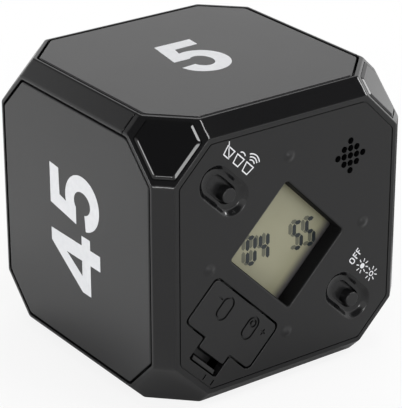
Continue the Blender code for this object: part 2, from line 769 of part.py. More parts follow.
def make_front_shell():
    """Display face, its four edge bars and corners, down to the seam, with all that is moulded on."""
    shell = hollow_cube("front_shell", "gloss_black", SEAM_DEPTH - SEAT_GAP / 2, 2 * CUBE_SIDE)
    adds = [seam_lip(), corner_mark("front_bottom_left")]
    cuts = plate_beds(("top", "bottom", "left", "right")) + [face_line()]
    for x, y in tower_places():
        adds.append(prism("tower", circle(SCREW_TOWER_RADIUS, (x, y)), FACE_WALL / 2, TOWER_END, front))
        pilot = circle(PILOT_RADIUS, (x, y), HOLE_STEPS)
        cuts.append(prism("pilot", pilot, BOARD_BACK, TOWER_END + OVERRUN, front))
    for x, y in rectangle(2 * POST_ALONG, 2 * POST_ACROSS):
        post = circle(POST_RADIUS, (x, y), SMALL_STEPS)
        adds.append(prism("post", post, FACE_WALL / 2, BOARD_DEPTH - SEAT_GAP, diagonal))
        pilot = circle(POST_PILOT, (x, y), HOLE_STEPS)
        cuts.append(prism("post_pilot", pilot, FACE_WALL, BOARD_DEPTH, diagonal))
    nub = dome_profile(NUB_RADIUS, NUB_HEIGHT, OVERRUN)
    for x, y in ((NUB_OFFSET, 0), (0, NUB_OFFSET), (-NUB_OFFSET, 0), (0, -NUB_OFFSET)):
        adds.append(turned("nub", nub, front, at=(x, y, 0), steps=SMALL_STEPS))
    display_window(adds, cuts)
    switch_dish("volume", -SWITCH_OFFSET, cuts)
    switch_dish("light", SWITCH_OFFSET, cuts)
    sounder_grille(adds, cuts)
    battery_opening(adds, cuts)
    lens_seats(cuts)
    join(shell, *adds)
    cut(shell, *cuts)
    return shell


def make_rear_shell():
    """The tub behind the seam: beds of five number plates, screw towers and the stops of the battery box."""
    shell = hollow_cube("rear_shell", "gloss_black", -CUBE_SIDE, SEAM_DEPTH + SEAT_GAP / 2)
    adds = [corner_mark(name) for name in CORNERS if name.startswith("back")]
    cuts = plate_beds(("top", "bottom", "left", "right", "back"))
    root = HALF - INNER_HALF - BED_WALL / 2
    length = CUBE_SIDE - TOWER_END - SEAT_GAP
    outer = COUNTERBORE_RADIUS + COUNTERBORE_WALL
    for x, y in tower_places():
        adds.append(prism("rear_tower", circle(outer, (x, y)), root, length, face["back"]))
        across = (TOWER_RIB, 2 * outer) if x == 0 else (2 * outer, TOWER_RIB)
        middle = Vector((x, y)).normalized() * (INNER_HALF + OVERRUN / 2 - outer)
        rib = rectangle(*across, tuple(middle))
        adds.append(prism("tower_rib", rib, root, length - LIP_REACH - OVERRUN, face["back"]))
        wide = circle(COUNTERBORE_RADIUS, (x, y), SMALL_STEPS)
        cuts.append(prism("counterbore", wide, 0, length - TOWER_FLOOR, face["back"]))
        hole = circle(PILOT_RADIUS + SEAT_GAP, (x, y), HOLE_STEPS)
        near = length - TOWER_FLOOR - OVERRUN
        cuts.append(prism("screw_hole", hole, near, length + OVERRUN, face["back"]))
    for along in (-STOP_RIB_ALONG, 0, STOP_RIB_ALONG):
        rib = rectangle(STOP_RIB, STOP_RIB_LENGTH, (along, -DOOR_CENTRE))
        adds.append(prism("stop_rib", rib, BOX_END + SEAT_GAP, CUBE_SIDE - root, diagonal))
    join(shell, *adds)
    cut(shell, *cuts)
    return shell


def make_number_plate(side):
    """One flush number plate with four pegs that locate it in its bed."""
    plate = prism("plate_" + side, plate_outline(0), 0, PLATE_THICKNESS, face[side], "satin_black")
    bevel(plate, PLATE_EDGE, 1)
    places = rectangle(2 * PEG_ACROSS, 2 * PEG_ALONG)
    outlines = [circle(PEG_RADIUS, place, HOLE_STEPS) for place in places]
    peg_end = PLATE_THICKNESS + PEG_LENGTH
    join(plate, *[prism("peg", outline, PLATE_THICKNESS / 2, peg_end, face[side]) for outline in outlines])
    return plate


make_front_shell()
make_rear_shell()
for side in ("top", "left", "right", "bottom", "back"):
    make_number_plate(side)


# Corner lenses and their lamps

def make_corner_lens(name):
    """A smoked lens let into the corner, whose plug passes through the wall and holds its lamp."""
    outline = hexagon(LENS_LONG_IN, LENS_SHORT_IN)
    lens = prism("lens_" + name, outline, -LENS_RISE, LENS_SINK, corner[name], "lens_black")
    bevel(lens, LENS_EDGE, 1, math.radians(75))
    plug_end = CORNER_WALL + LENS_PLUG_END
    join(lens, prism(name + "_plug", circle(LENS_PLUG_RADIUS), LENS_SINK / 2, plug_end, corner[name]))
    bore = circle(LED_RADIUS + LED_RIM + SEAT_GAP)
    cut(lens, prism(name + "_lamp_bore", bore, LED_SINK - SEAT_GAP, plug_end + OVERRUN, corner[name]))
    return lens


def make_lamp(name):
    """A round-nosed lamp in the lens's plug; its leads rise past the board's edge and land on it."""
    base = LED_SINK + LED_LENGTH
    nose = arc((0, -LED_SINK - LED_RADIUS), LED_RADIUS, UPRIGHT, 0, 4)
    rim = LED_RADIUS + LED_RIM
    foot = [(LED_RADIUS, -base + LED_RIM_HEIGHT), (rim, -base + LED_RIM_HEIGHT), (rim, -base), (0, -base)]
    lamp = turned("led_" + name, nose + foot, corner[name], "led_epoxy", steps=SMALL_STEPS)
    outward = Vector(CORNERS[name]).normalized()
    sideways = Vector((-outward.z, 0, outward.x)).normalized()
    inboard = Vector((-outward.x, 0, -outward.z)).normalized()
    to_corner_frame = corner[name].rotation_quaternion.inverted()
    for side in (-1, 1):
        start = outward * (CORNER_REACH - base + SEAT_GAP) + sideways * side * LED_LEAD_PITCH
        bend = start - outward * (SEAT_GAP + LED_LEAD_DROP)
        rise = Vector((bend.x, LEAD_CROSSING - HALF, bend.z))
        over = rise + inboard * (inboard.dot(rise) * -1 - LED_LEAD_LANDING)
        landing = Vector((over.x, PARTS_DEPTH - HALF, over.z))
        route = [to_corner_frame @ (p - outward * CORNER_REACH) for p in (start, bend, rise, over, landing)]
        join(lamp, tube("lead", route, LED_LEAD_RADIUS, corner[name]))
    return lamp


for name in LIT_CORNERS:
    make_corner_lens(name)
    make_lamp(name)


# Display

def make_display():
    """Glass cell, the tray that holds it against the collar, and its two zebra strips."""
    glass = rectangle(GLASS_ALONG, GLASS_ACROSS)
    prism("display_glass", glass, DISPLAY_DEPTH, GLASS_BACK, diagonal, "display_glass")
    around = SEAT_GAP + HOLDER_WALL
    outer = rectangle(GLASS_ALONG + 2 * around, GLASS_ACROSS + 2 * around)
    floor = BOARD_DEPTH - SEAT_GAP
    tray = prism("display_tray", outer, DISPLAY_DEPTH + SEAT_GAP, floor, diagonal, "white_moulding")
    room = rectangle(GLASS_ALONG + 2 * SEAT_GAP, GLASS_ACROSS + 2 * SEAT_GAP)
    cut(tray, prism("glass_room", room, DISPLAY_DEPTH - OVERRUN, GLASS_BACK + SEAT_GAP, diagonal))
    opening = rectangle(GLASS_ALONG - 2 * HOLDER_LEDGE, GLASS_ACROSS - 2 * HOLDER_LEDGE)
    cut(tray, prism("tray_opening", opening, DISPLAY_DEPTH, BOARD_DEPTH, diagonal))
    strip_length = GLASS_ALONG - 2 * ZEBRA_END
    strip_across = GLASS_ACROSS / 2 - ZEBRA_INSET - ZEBRA_WIDTH / 2
    for side, word in ((-1, "lower"), (1, "upper")):
        middle = (0, side * strip_across)
        strip = rectangle(strip_length, ZEBRA_WIDTH, middle)
        prism("zebra_strip_" + word, strip, GLASS_BACK + SEAT_GAP, floor, diagonal, "zebra_rubber")
        channel = rectangle(strip_length + 2 * SEAT_GAP, ZEBRA_WIDTH + 2 * SEAT_GAP, middle)
        cut(tray, prism("strip_channel", channel, GLASS_BACK, BOARD_DEPTH, diagonal))


make_display()


# Circuit board and what is soldered to it

def make_board():
    """The board fills the front shell's lip, with notches for towers, corners and battery box."""
    half = LIP_INNER_HALF - BOARD_CLEARANCE
    outline = octagon(half, BOARD_CORNER)
    board = prism("circuit_board", outline, BOARD_DEPTH, BOARD_BACK, front, "board_green")
    above, below = BOARD_DEPTH - OVERRUN, BOARD_BACK + OVERRUN
    box_along = 2 * (BOX_INNER_ALONG + BOX_WALL + BOARD_CLEARANCE)
    box_edge = BOX_INNER_ACROSS + BOX_WALL + BOARD_CLEARANCE - DOOR_CENTRE
    opening = rectangle(box_along, CUBE_SIDE + box_edge, (0, (box_edge - CUBE_SIDE) / 2))
    cuts = [prism("box_notch", opening, above, below, diagonal)]
    for x, y in tower_places():
        notch = rectangle(*notch_size(x, y), notch_middle(x, y))
        cuts.append(prism("tower_notch", notch, above, below, front))
    for x, y in rectangle(2 * POST_ALONG, 2 * POST_ACROSS):
        hole = circle(POST_PILOT + SEAT_GAP, (x, y), HOLE_STEPS)
        cuts.append(prism("board_hole", hole, above, below, diagonal))
    cut(board, *cuts)
    return board


def notch_size(x, y):
    """Full size of a tower's notch, open to the board's edge."""
    wide = 2 * (SCREW_TOWER_RADIUS + BOARD_CLEARANCE)
    return (wide, 2 * wide) if x == 0 else (2 * wide, wide)


def notch_middle(x, y):
    """Middle of a tower's notch, set so that its inner side clears the tower."""
    reach = SCREW_TOWER_RADIUS + BOARD_CLEARANCE
    return tuple(Vector((x, y)) + Vector((x, y)).normalized() * reach)


def make_screw_profile(head_radius, head_height, shank_radius, shank_length, crown_share=0.6):
    """A pan-head screw from its crown down to its point."""
    point = shank_radius
    return [
        (0, head_height),
        (head_radius * crown_share, head_height),
        (head_radius, head_height / 2),
        (head_radius, 0),
        (shank_radius, 0),
        (shank_radius, -shank_length + point),
        (0, -shank_length),
    ]


SCREW_HEAD_RADIUS = 0.0019
SCREW_HEAD_HEIGHT = 0.0013
SHELL_SCREW_LENGTH = 0.0100


def make_screws():
    """Four screws hold the board to its posts, and four long-reach ones join the shells."""
    turn_in = Matrix.Rotation(DOWN, 4, "X")
    profile = make_screw_profile(SCREW_HEAD_RADIUS, SCREW_HEAD_HEIGHT, POST_PILOT - SEAT_GAP, SCREW_LENGTH)
    one = turned("board_screw", profile, diagonal, steps=HOLE_STEPS, tilt=turn_in)
    seats = [(x, y, -PARTS_DEPTH) for x, y in rectangle(2 * POST_ALONG, 2 * POST_ACROSS)]
    repeated(one, seats, "zinc_screw")
    head = SCREW_HEAD_RADIUS, SCREW_HEAD_HEIGHT
    profile = make_screw_profile(*head, PILOT_RADIUS - SEAT_GAP, SHELL_SCREW_LENGTH)
    one = turned("shell_screw", profile, face["back"], steps=HOLE_STEPS)
    floor = CUBE_SIDE - TOWER_END - SEAT_GAP - TOWER_FLOOR
    seats = [(x, y, -floor + SEAT_GAP) for x, y in tower_places()]
    repeated(one, seats, "zinc_screw")


def make_board_parts():
    """The controller under its epoxy drop, the clock crystal, two capacitors and two tilt switches."""
    down = Matrix.Rotation(DOWN, 4, "X")
    lying = Matrix.Rotation(UPRIGHT, 4, "Y")
    drop = dome_profile(CHIP_RADIUS, CHIP_HEIGHT - SEAT_GAP, SEAT_GAP)
    turned("controller_chip", drop, diagonal, "epoxy_black", (0, 0, -PARTS_DEPTH - SEAT_GAP), tilt=down)
    can = can_profile(CRYSTAL_RADIUS, CRYSTAL_LENGTH, SEAT_GAP)
    where = (CRYSTAL_ALONG, CRYSTAL_ACROSS, -PARTS_DEPTH - CRYSTAL_RADIUS)
    turned("clock_crystal", can, diagonal, "tin_plate", where, HOLE_STEPS, lying)
    can = can_profile(CAPACITOR_RADIUS, CAPACITOR_HEIGHT, SEAT_GAP)
    one = turned("capacitor", can, diagonal, None, steps=SMALL_STEPS, tilt=down)
    depth = -PARTS_DEPTH - CAPACITOR_HEIGHT / 2
    rows = (-CAPACITOR_PITCH / 2, CAPACITOR_PITCH / 2)
    repeated(one, [(CAPACITOR_ALONG, y, depth) for y in rows], "cell_sleeve")
    can = can_profile(TILT_RADIUS, TILT_LENGTH, SEAT_GAP)
    one = turned("tilt_switch", can, diagonal, None, steps=SMALL_STEPS, tilt=lying)
    depth = -PARTS_DEPTH - TILT_RADIUS
    gap = TILT_LENGTH + OVERRUN
    repeated(one, [(TILT_ALONG + k * gap, TILT_ACROSS, depth) for k in (0, 1)], "tin_plate")


def can_profile(radius, length, edge):
    """A closed can of that length about its middle, with a small chamfer at each end."""
    half = length / 2
    side = [(radius, half - edge), (radius, -half + edge)]
    return [(0, half), (radius - edge, half), *side, (radius - edge, -half), (0, -half)]


make_board()
make_screws()
make_board_parts()


# Sounder

def make_sounder():
    """A magnetic sounder can, soldered to the board, its mouth behind the grille."""
    top = BOARD_DEPTH - SEAT_GAP - SOUNDER_HEIGHT
    edge = SEAT_GAP
    profile = [
        (0, -top - edge * 4),
        (SOUNDER_MOUTH, -top - edge * 4),
        (SOUNDER_MOUTH, -top),
        (SOUNDER_RADIUS - edge, -top),
        (SOUNDER_RADIUS, -top - edge),
        (SOUNDER_RADIUS, -top - SOUNDER_HEIGHT),
        (0, -top - SOUNDER_HEIGHT),
    ]
    turned("sounder", profile, diagonal, "epoxy_black", (0, SOUNDER_OFFSET, 0))


make_sounder()


# Slide switches

def make_slide_switch(name, along):
    """A switch case on the board, its sliding lever, and the knob that the finger moves."""
    case_floor = SWITCH_TOP + SWITCH_HEIGHT
    middle = (along, 0, 0)
    outline = rectangle(SWITCH_LENGTH, SWITCH_WIDTH)
    case = prism(name + "_switch", outline, SWITCH_TOP, case_floor, diagonal, "tin_plate", middle)
    room = rectangle(SWITCH_LENGTH - 2 * SWITCH_WALL, SWITCH_WIDTH - 2 * SWITCH_WALL)
    ceiling = SWITCH_TOP + SWITCH_WALL
    cut(case, prism(name + "_room", room, ceiling, case_floor - SWITCH_WALL, diagonal, at=middle))
    mouth = rectangle(2 * KNOB_STEP + LEVER_SIDE + 2 * SEAT_GAP, LEVER_SIDE + 2 * SEAT_GAP)
    cut(case, prism(name + "_mouth", mouth, SWITCH_TOP - OVERRUN, ceiling + JOIN_LAP, diagonal, at=middle))
    rest = (along + KNOB_STEP, 0, 0)
    lever_top = KNOB_BOSS_END - KNOB_SOCKET + SEAT_GAP
    foot_top = SWITCH_TOP + SWITCH_WALL + SEAT_GAP
    foot_end = foot_top + LEVER_FOOT_THICKNESS
    stem = rectangle(LEVER_SIDE, LEVER_SIDE)
    lever = prism(name + "_lever", stem, lever_top, foot_end, diagonal, "white_moulding", rest)
    foot = rectangle(LEVER_FOOT_LENGTH, LEVER_FOOT_WIDTH)
    join(lever, prism(name + "_foot", foot, foot_top, foot_end, diagonal, at=rest))
    make_knob(name, rest)


def make_knob(name, rest):
    """A round knob on a plate that closes the slot from below, with a socket for the lever."""
    knob = prism(name + "_knob", circle(KNOB_RADIUS), 0, KNOB_PLATE_BACK, diagonal, "satin_black", rest)
    bevel(knob, KNOB_ROUND, 2)
    shield = rectangle(2 * (KNOB_SLOT_HALF + KNOB_STEP + KNOB_PLATE_MARGIN), KNOB_PLATE_WIDTH)
    plate = prism(name + "_shield", shield, KNOB_PLATE_DEPTH, KNOB_PLATE_BACK, diagonal, at=rest)
    inner = LEVER_SIDE + 2 * SEAT_GAP
    outer = inner + 2 * SOCKET_WALL
    boss_top = KNOB_PLATE_BACK - JOIN_LAP
    boss = prism(name + "_boss", rectangle(outer, outer), boss_top, KNOB_BOSS_END, diagonal, at=rest)
    join(knob, plate, boss)
    socket_top = KNOB_BOSS_END - KNOB_SOCKET
    socket_end = KNOB_BOSS_END + OVERRUN
    cut(knob, prism(name + "_socket", rectangle(inner, inner), socket_top, socket_end, diagonal, at=rest))


make_slide_switch("volume", -SWITCH_OFFSET)
make_slide_switch("light", SWITCH_OFFSET)


# Battery box, cells and contacts

def box_outline(extra):
    """Outline of the battery box's hollow, grown by extra."""
    along, across = 2 * (BOX_INNER_ALONG + extra), 2 * (BOX_INNER_ACROSS + extra)
    return rounded(rectangle(along, across, (0, -DOOR_CENTRE)), BOX_ROUND + extra, 2 * ARC_STEPS)


def make_battery_box():
    """A deep box behind the door, closed at its inner end, with notches for the door's tabs."""
    box = prism("battery_box", box_outline(BOX_WALL), BOX_TOP, BOX_END, diagonal, "gloss_black")
    cut(box, prism("box_room", box_outline(0), BOX_TOP - OVERRUN, BOX_FLOOR_DEPTH, diagonal))
    for along in (-CELL_ALONG, CELL_ALONG):
        wide = TAB_WIDTH + 2 * TAB_NOTCH
        notch = rectangle(wide, 2 * BOX_INNER_ACROSS, (along, HINGE_ACROSS + DOOR_GAP))
        deep = DOOR_THICKNESS + SEAT_GAP + TAB_THICKNESS + TAB_NOTCH
        cut(box, prism("tab_notch", notch, BOX_TOP - OVERRUN, deep, diagonal))
        size = CONTACT_TAG_WIDTH + 2 * SEAT_GAP, CONTACT_THICKNESS + 2 * SEAT_GAP
        slit = rectangle(*size, (along, tag_across()))
        cut(box, prism("tag_slit", slit, BOX_FLOOR_DEPTH - OVERRUN, BOX_END + OVERRUN, diagonal))
    return box


def tag_across():
    """The solder tags stand at the display side of the contact plates."""
    return -DOOR_CENTRE + CONTACT_SIDE / 2 - CONTACT_THICKNESS / 2


def make_cell(name, along, button_up):
    """One AAA cell: a turned can with a button at one end and a flat pad at the other."""
    can = CELL_LENGTH - CELL_BUTTON_HEIGHT
    profile = [
        (0, CELL_BUTTON_HEIGHT),
        (CELL_BUTTON_RADIUS, CELL_BUTTON_HEIGHT),
        (CELL_BUTTON_RADIUS, 0),
        (CELL_RADIUS - CELL_ROUND, 0),
        (CELL_RADIUS, -CELL_ROUND),
        (CELL_RADIUS, -can + CELL_ROUND),
        (CELL_RADIUS - CELL_ROUND, -can),
        (0, -can),
    ]
    if button_up:
        place = (along, -DOOR_CENTRE, -BUTTON_UP_DEPTH - CELL_BUTTON_HEIGHT)
        turned(name, profile, diagonal, "cell_sleeve", place)
    else:
        over = Matrix.Rotation(DOWN, 4, "X")
        place = (along, -DOOR_CENTRE, -BUTTON_DOWN_DEPTH - can)
        turned(name, profile, diagonal, "cell_sleeve", place, tilt=over)


def coil_points(base, top):
    """A cone spring's wire, from its wide base to its narrow top, flat for a part of a turn at each end."""
    points = []
    steps = 10 * SPRING_TURNS
    for i in range(steps + 1):
        share = i / steps
        turn = 4 * UPRIGHT * SPRING_TURNS * share
        turns_up = share * SPRING_TURNS - SPRING_FLAT_TURN
        rise = min(max(turns_up / (SPRING_TURNS - 2 * SPRING_FLAT_TURN), 0), 1)
        radius = SPRING_RADIUS * (1 - (1 - SPRING_TOP_SHARE) * share)
        height = base + (top - base) * rise
        points.append((radius * math.cos(turn), radius * math.sin(turn), height))
    return points


def make_contacts():
    """Two plates with solder tags at the box's inner end, one with a coil spring."""
    back = INNER_CONTACT_DEPTH + CONTACT_THICKNESS
    for word, along in (("positive", -CELL_ALONG), ("negative", CELL_ALONG)):
        square = rectangle(CONTACT_SIDE, CONTACT_SIDE, (along, -DOOR_CENTRE))
        plate = prism("contact_plate_" + word, square, INNER_CONTACT_DEPTH, back, diagonal, "tin_plate")
        tag = rectangle(CONTACT_TAG_WIDTH, CONTACT_THICKNESS, (along, tag_across()))
        join(plate, prism("tag", tag, INNER_CONTACT_DEPTH + JOIN_LAP, BOX_END + CONTACT_TAG_REACH, diagonal))
    foot = -INNER_CONTACT_DEPTH + SEAT_GAP + SPRING_WIRE
    head = -BUTTON_UP_DEPTH - CELL_LENGTH - SEAT_GAP - SPRING_WIRE
    place = (CELL_ALONG, -DOOR_CENTRE, 0)
    tube("contact_spring_inner", coil_points(foot, head), SPRING_WIRE, diagonal, "spring_steel", place)


def make_battery_wires():
    """Two insulated wires from the solder tags, along the box's display side, to the board."""
    across = -DOOR_CENTRE + BOX_INNER_ACROSS + BOX_WALL + WIRE_STANDOFF
    tag_end = BOX_END + CONTACT_TAG_REACH
    for word, along in (("red", -CELL_ALONG), ("black", CELL_ALONG)):
        start = Vector((along, tag_across(), -tag_end - SEAT_GAP))
        over = start - Vector((0, 0, WIRE_STANDOFF))
        aside = Vector((along, across, -tag_end - WIRE_STANDOFF))
        down = Vector((along, across, -PARTS_DEPTH))
        route = eased([start, over, aside, down])
        tube("battery_wire_" + word, route, WIRE_RADIUS, diagonal, word + "_insulation")


def eased(corners):
    """A route with each inner corner taken by a short curve instead of a sharp bend."""
    points = [tuple(corners[0])]
    for i in range(1, len(corners) - 1):
        reach = min((corners[i] - corners[i - 1]).length, (corners[i + 1] - corners[i]).length) / 2
        enter = corners[i] + (corners[i - 1] - corners[i]).normalized() * reach
        leave = corners[i] + (corners[i + 1] - corners[i]).normalized() * reach
        for k in range(ARC_STEPS + 1):
            t = k / ARC_STEPS
            points.append(tuple(enter * (1 - t) ** 2 + corners[i] * 2 * t * (1 - t) + leave * t**2))
    points.append(tuple(corners[-1]))
    return [p for i, p in enumerate(points) if i == 0 or (Vector(p) - Vector(points[i - 1])).length > WELD]


make_battery_box()
make_cell("battery_cell_left", -CELL_ALONG, button_up=False)
make_cell("battery_cell_right", CELL_ALONG, button_up=True)
make_contacts()
make_battery_wires()


# Battery door

def latch_outline():
    """Side view of the latch: down from the tongue, round a narrow bend and up into the finger slot."""
    near = TONGUE_END - 2 * DOOR_EDGE
    far = SLOT_END - DOOR_GAP - LATCH_END_GAP
    outer = [
        (-near + LATCH_THICKNESS, -DOOR_THICKNESS / 2),
        (-near + LATCH_THICKNESS, -LATCH_DEPTH + LATCH_THICKNESS),
        (-near, -LATCH_DEPTH),
        (-far + LATCH_THICKNESS, -LATCH_DEPTH),
        (-far, -LATCH_DEPTH + LATCH_THICKNESS),
        (-far, -LATCH_TOP),
        (-far + LATCH_THICKNESS, -LATCH_TOP),
        (-far + LATCH_THICKNESS, -LATCH_DEPTH + LATCH_THICKNESS),
        (-near, -LATCH_DEPTH + LATCH_THICKNESS),
        (-near, -DOOR_THICKNESS / 2),
    ]
    return outer


def make_battery_door():
    """The door turns about its edge beside the display: plate, tongue, two tabs and a sprung latch."""
    hinge = (0, HINGE_ACROSS, 0)
    door = prism("battery_door", door_plate(0), 0, DOOR_THICKNESS, diagonal, "satin_black", hinge)
    bevel(door, DOOR_EDGE, 1)
    outline = strip_outline(TONGUE_WIDTH - 2 * DOOR_GAP, TONGUE_END, TONGUE_ROUND)
    tongue = prism("tongue", outline, 0, DOOR_THICKNESS, diagonal, at=hinge)
    join(door, bevel(tongue, DOOR_EDGE, 1))
    tab_top = DOOR_THICKNESS + SEAT_GAP
    tab_end = tab_top + TAB_THICKNESS
    for along in (-CELL_ALONG, CELL_ALONG):
        root = rectangle(TAB_WIDTH, TAB_ROOT, (along, -TAB_ROOT / 2 - DOOR_EDGE))
        join(door, prism("tab_root", root, DOOR_THICKNESS / 2, tab_end, diagonal, at=hinge))
        tab = rectangle(TAB_WIDTH, TAB_ROOT + TAB_REACH, (along, (TAB_REACH - TAB_ROOT) / 2))
        join(door, prism("tab", tab, tab_top, tab_end, diagonal, at=hinge))
    latch = prism("latch", latch_outline(), -LATCH_WIDTH / 2, LATCH_WIDTH / 2, diagonal, at=hinge, axis="X")
    join(door, latch)
    across = -DOOR_CENTRE - HINGE_ACROSS
    strip = rectangle(DOOR_CONTACT_LENGTH, DOOR_CONTACT_WIDTH, (0, across))
    prism("door_contact_plate", strip, DOOR_CONTACT_DEPTH, DOOR_CONTACT_BACK, diagonal, "tin_plate", hinge)
    foot = -DOOR_CONTACT_BACK - SEAT_GAP - SPRING_WIRE
    head = -BUTTON_DOWN_DEPTH + SEAT_GAP + SPRING_WIRE
    place = (-CELL_ALONG, -DOOR_CENTRE, 0)
    tube("door_contact_spring", coil_points(foot, head), SPRING_WIRE, diagonal, "spring_steel", place)


make_battery_door()


# The finished model and its hidden cutters

workbench.children.link(timer)
workbench.children.link(cutters)
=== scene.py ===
"""Cube timer: the dressed model. Sizes are in millimetres and are scaled to metres as a mesh is made.

A face has its own axes: u to its right, v up and w out of the cube, measured from the cube's middle.
The display, the switches and the battery door lie on a second pair of axes on the front face, turned
by an eighth turn: a runs to the lower right corner of that face and b to its upper right corner.
"""

import math

import bmesh
import bpy
import numpy as np
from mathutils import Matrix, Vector
from mathutils.geometry import delaunay_2d_cdt


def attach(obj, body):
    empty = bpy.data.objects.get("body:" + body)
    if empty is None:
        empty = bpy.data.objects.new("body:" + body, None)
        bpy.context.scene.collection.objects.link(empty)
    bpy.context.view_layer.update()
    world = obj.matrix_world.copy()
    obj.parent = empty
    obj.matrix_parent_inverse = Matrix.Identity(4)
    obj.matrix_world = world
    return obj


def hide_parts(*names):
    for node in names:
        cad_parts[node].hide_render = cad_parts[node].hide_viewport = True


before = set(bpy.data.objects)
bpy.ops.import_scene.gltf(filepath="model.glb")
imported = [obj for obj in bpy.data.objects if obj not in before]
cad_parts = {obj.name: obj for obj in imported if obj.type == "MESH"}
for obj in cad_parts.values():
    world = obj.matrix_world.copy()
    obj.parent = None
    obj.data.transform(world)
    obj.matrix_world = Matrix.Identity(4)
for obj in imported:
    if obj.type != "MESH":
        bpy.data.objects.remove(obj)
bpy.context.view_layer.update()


# Circuit board, chip, crystal, capacitors, tilt switches and slide switches: a green board of glass
# fibre and epoxy with its parts soldered on. It hangs under the display on four posts and screws.

def linear(colour):
    """The linear colour of an sRGB hex value: ((c + 0.055) / 1.055) to the power of 2.4 per channel."""
    channels = np.array([int(colour[i:i + 2], 16) / 255 for i in (1, 3, 5)])
    bright = ((channels + 0.055) / 1.055) ** 2.4
    return (*np.where(channels > 0.04045, bright, channels / 12.92).tolist(), 1)


def settle(tree, node, given):
    """Sets a node's properties (small letters) and sockets; a node or a socket that is given is linked."""
    for name, value in given.items():
        if isinstance(name, str) and name.islower():
            setattr(node, name, value)
        elif isinstance(value, bpy.types.Node):
            tree.links.new(value.outputs[0], node.inputs[name])
        elif isinstance(value, bpy.types.NodeSocket):
            tree.links.new(value, node.inputs[name])
        else:
            node.inputs[name].default_value = value
    return node


def add(tree, kind, given):
    """A new shader node with its settings and links."""
    return settle(tree, tree.nodes.new("ShaderNode" + kind), given)


def new_finish(name, colour, given):
    """A new material, its node tree, its shader with the settings given, and its Object coordinates."""
    material = bpy.data.materials.new(name)
    material.use_nodes = True
    tree = material.node_tree
    shader = settle(tree, tree.nodes["Principled BSDF"], {"Base Color": linear(colour), **given})
    return material, tree, shader, add(tree, "TexCoord", {}).outputs["Object"]


def give(material, *names):
    """Puts a finish on CAD nodes whose shape is right as it is."""
    for name in names:
        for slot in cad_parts[name].material_slots:
            slot.material = material


# Solder mask over FR4: a wet-looking green in which the copper tracks show paler and a little raised.
finish = {"Roughness": 0.28, "IOR": 1.55}
solder_mask, tree, shader, where = new_finish("solder_mask_on_fr4", "#1c5a33", finish)
track = add(tree, "TexVoronoi", {"Vector": where, "Scale": 1 / 0.0016, "feature": "DISTANCE_TO_EDGE"})
edge = add(tree, "ValToRGB", {"Fac": track.outputs["Distance"]})
low, high = edge.color_ramp.elements
low.color, high.color = linear("#2f7d45"), linear("#14482a")
low.position, high.position = 0.10, 0.16
bump = add(tree, "Bump", {"Height": edge, "Strength": 0.4, "Distance": 0.00003})
settle(tree, shader, {"Base Color": edge, "Normal": bump})
give(solder_mask, "circuit_board")

# Cast epoxy and moulded phenolic: black, a little glossy, with a faint orange peel.
epoxy, tree, shader, where = new_finish("cast_epoxy_black", "#1a1a1a", {"Roughness": 0.32, "IOR": 1.55})
peel = add(tree, "TexNoise", {"Vector": where, "Scale": 1 / 0.0009, "Detail": 2})
settle(tree, shader, {"Normal": add(tree, "Bump", {"Height": peel, "Strength": 0.25, "Distance": 0.00004})})
give(epoxy, "controller_chip", "sounder")

# Plated metals: tinned sheet and cans, bright and clouded where the tin has flowed; zinc-plated screws,
# cool, with fine turning marks; and nickel-plated spring wire, bright, with the faint lines of drawing.
for name, colour, size, detail, (low, high), nodes in (
        ("tinned_steel_sheet", "#c3c3bf", 0.0022, 4, (0.18, 0.42),
         ["clock_crystal", "tilt_switch_1", "tilt_switch_2", "volume_switch", "light_switch",
          "contact_plate_negative", "contact_plate_positive", "door_contact_plate"]),
        ("zinc_plated_screw", "#a9acb0", 0.0004, 3, (0.25, 0.45),
         [f"{kind}_screw_{i}" for kind in ("board", "shell") for i in range(1, 5)]),
        ("nickel_plated_spring_wire", "#c9c7c0", 0.0003, 2, (0.15, 0.3),
         ["contact_spring_inner", "door_contact_spring"])):
    metal, tree, shader, where = new_finish(name, colour, {"Metallic": 1})
    uneven = add(tree, "TexNoise", {"Vector": where, "Scale": 1 / size, "Detail": detail})
    dull = add(tree, "MapRange", {"Value": uneven, "To Min": low, "To Max": high})
    settle(tree, shader, {"Roughness": dull.outputs[0]})
    give(metal, *nodes)

# Shrink sleeve, as on the cells and the capacitors: thin glossy PVC with a printed band along the middle.
sleeve, tree, shader, where = new_finish("shrink_sleeve_pvc", "#46484c", {"Roughness": 0.22, "IOR": 1.54})
band = add(tree, "TexWave", {"Vector": where, "Scale": 6.0, "bands_direction": "Y", "Distortion": 0})
tint = add(tree, "ValToRGB", {"Fac": band.outputs["Fac"]})
tint.color_ramp.interpolation = "CONSTANT"
low, high = tint.color_ramp.elements
low.color, high.color = linear("#3f4145"), linear("#8f9499")
high.position = 0.72
settle(tree, shader, {"Base Color": tint})
give(sleeve, "capacitor_1", "capacitor_2", "battery_cell_left", "battery_cell_right")

# White ABS of the small mouldings behind the display and of the switch levers: plain and softly shiny.
white_abs, tree, shader, where = new_finish("moulded_abs_white", "#dedcd5", {"Roughness": 0.42, "IOR": 1.53})
grain = add(tree, "TexNoise", {"Vector": where, "Scale": 1 / 0.0005, "Detail": 2})
settle(tree, shader, {"Normal": add(tree, "Bump", {"Height": grain, "Strength": 0.2, "Distance": 0.00002})})
give(white_abs, "display_tray", "volume_lever", "light_lever")

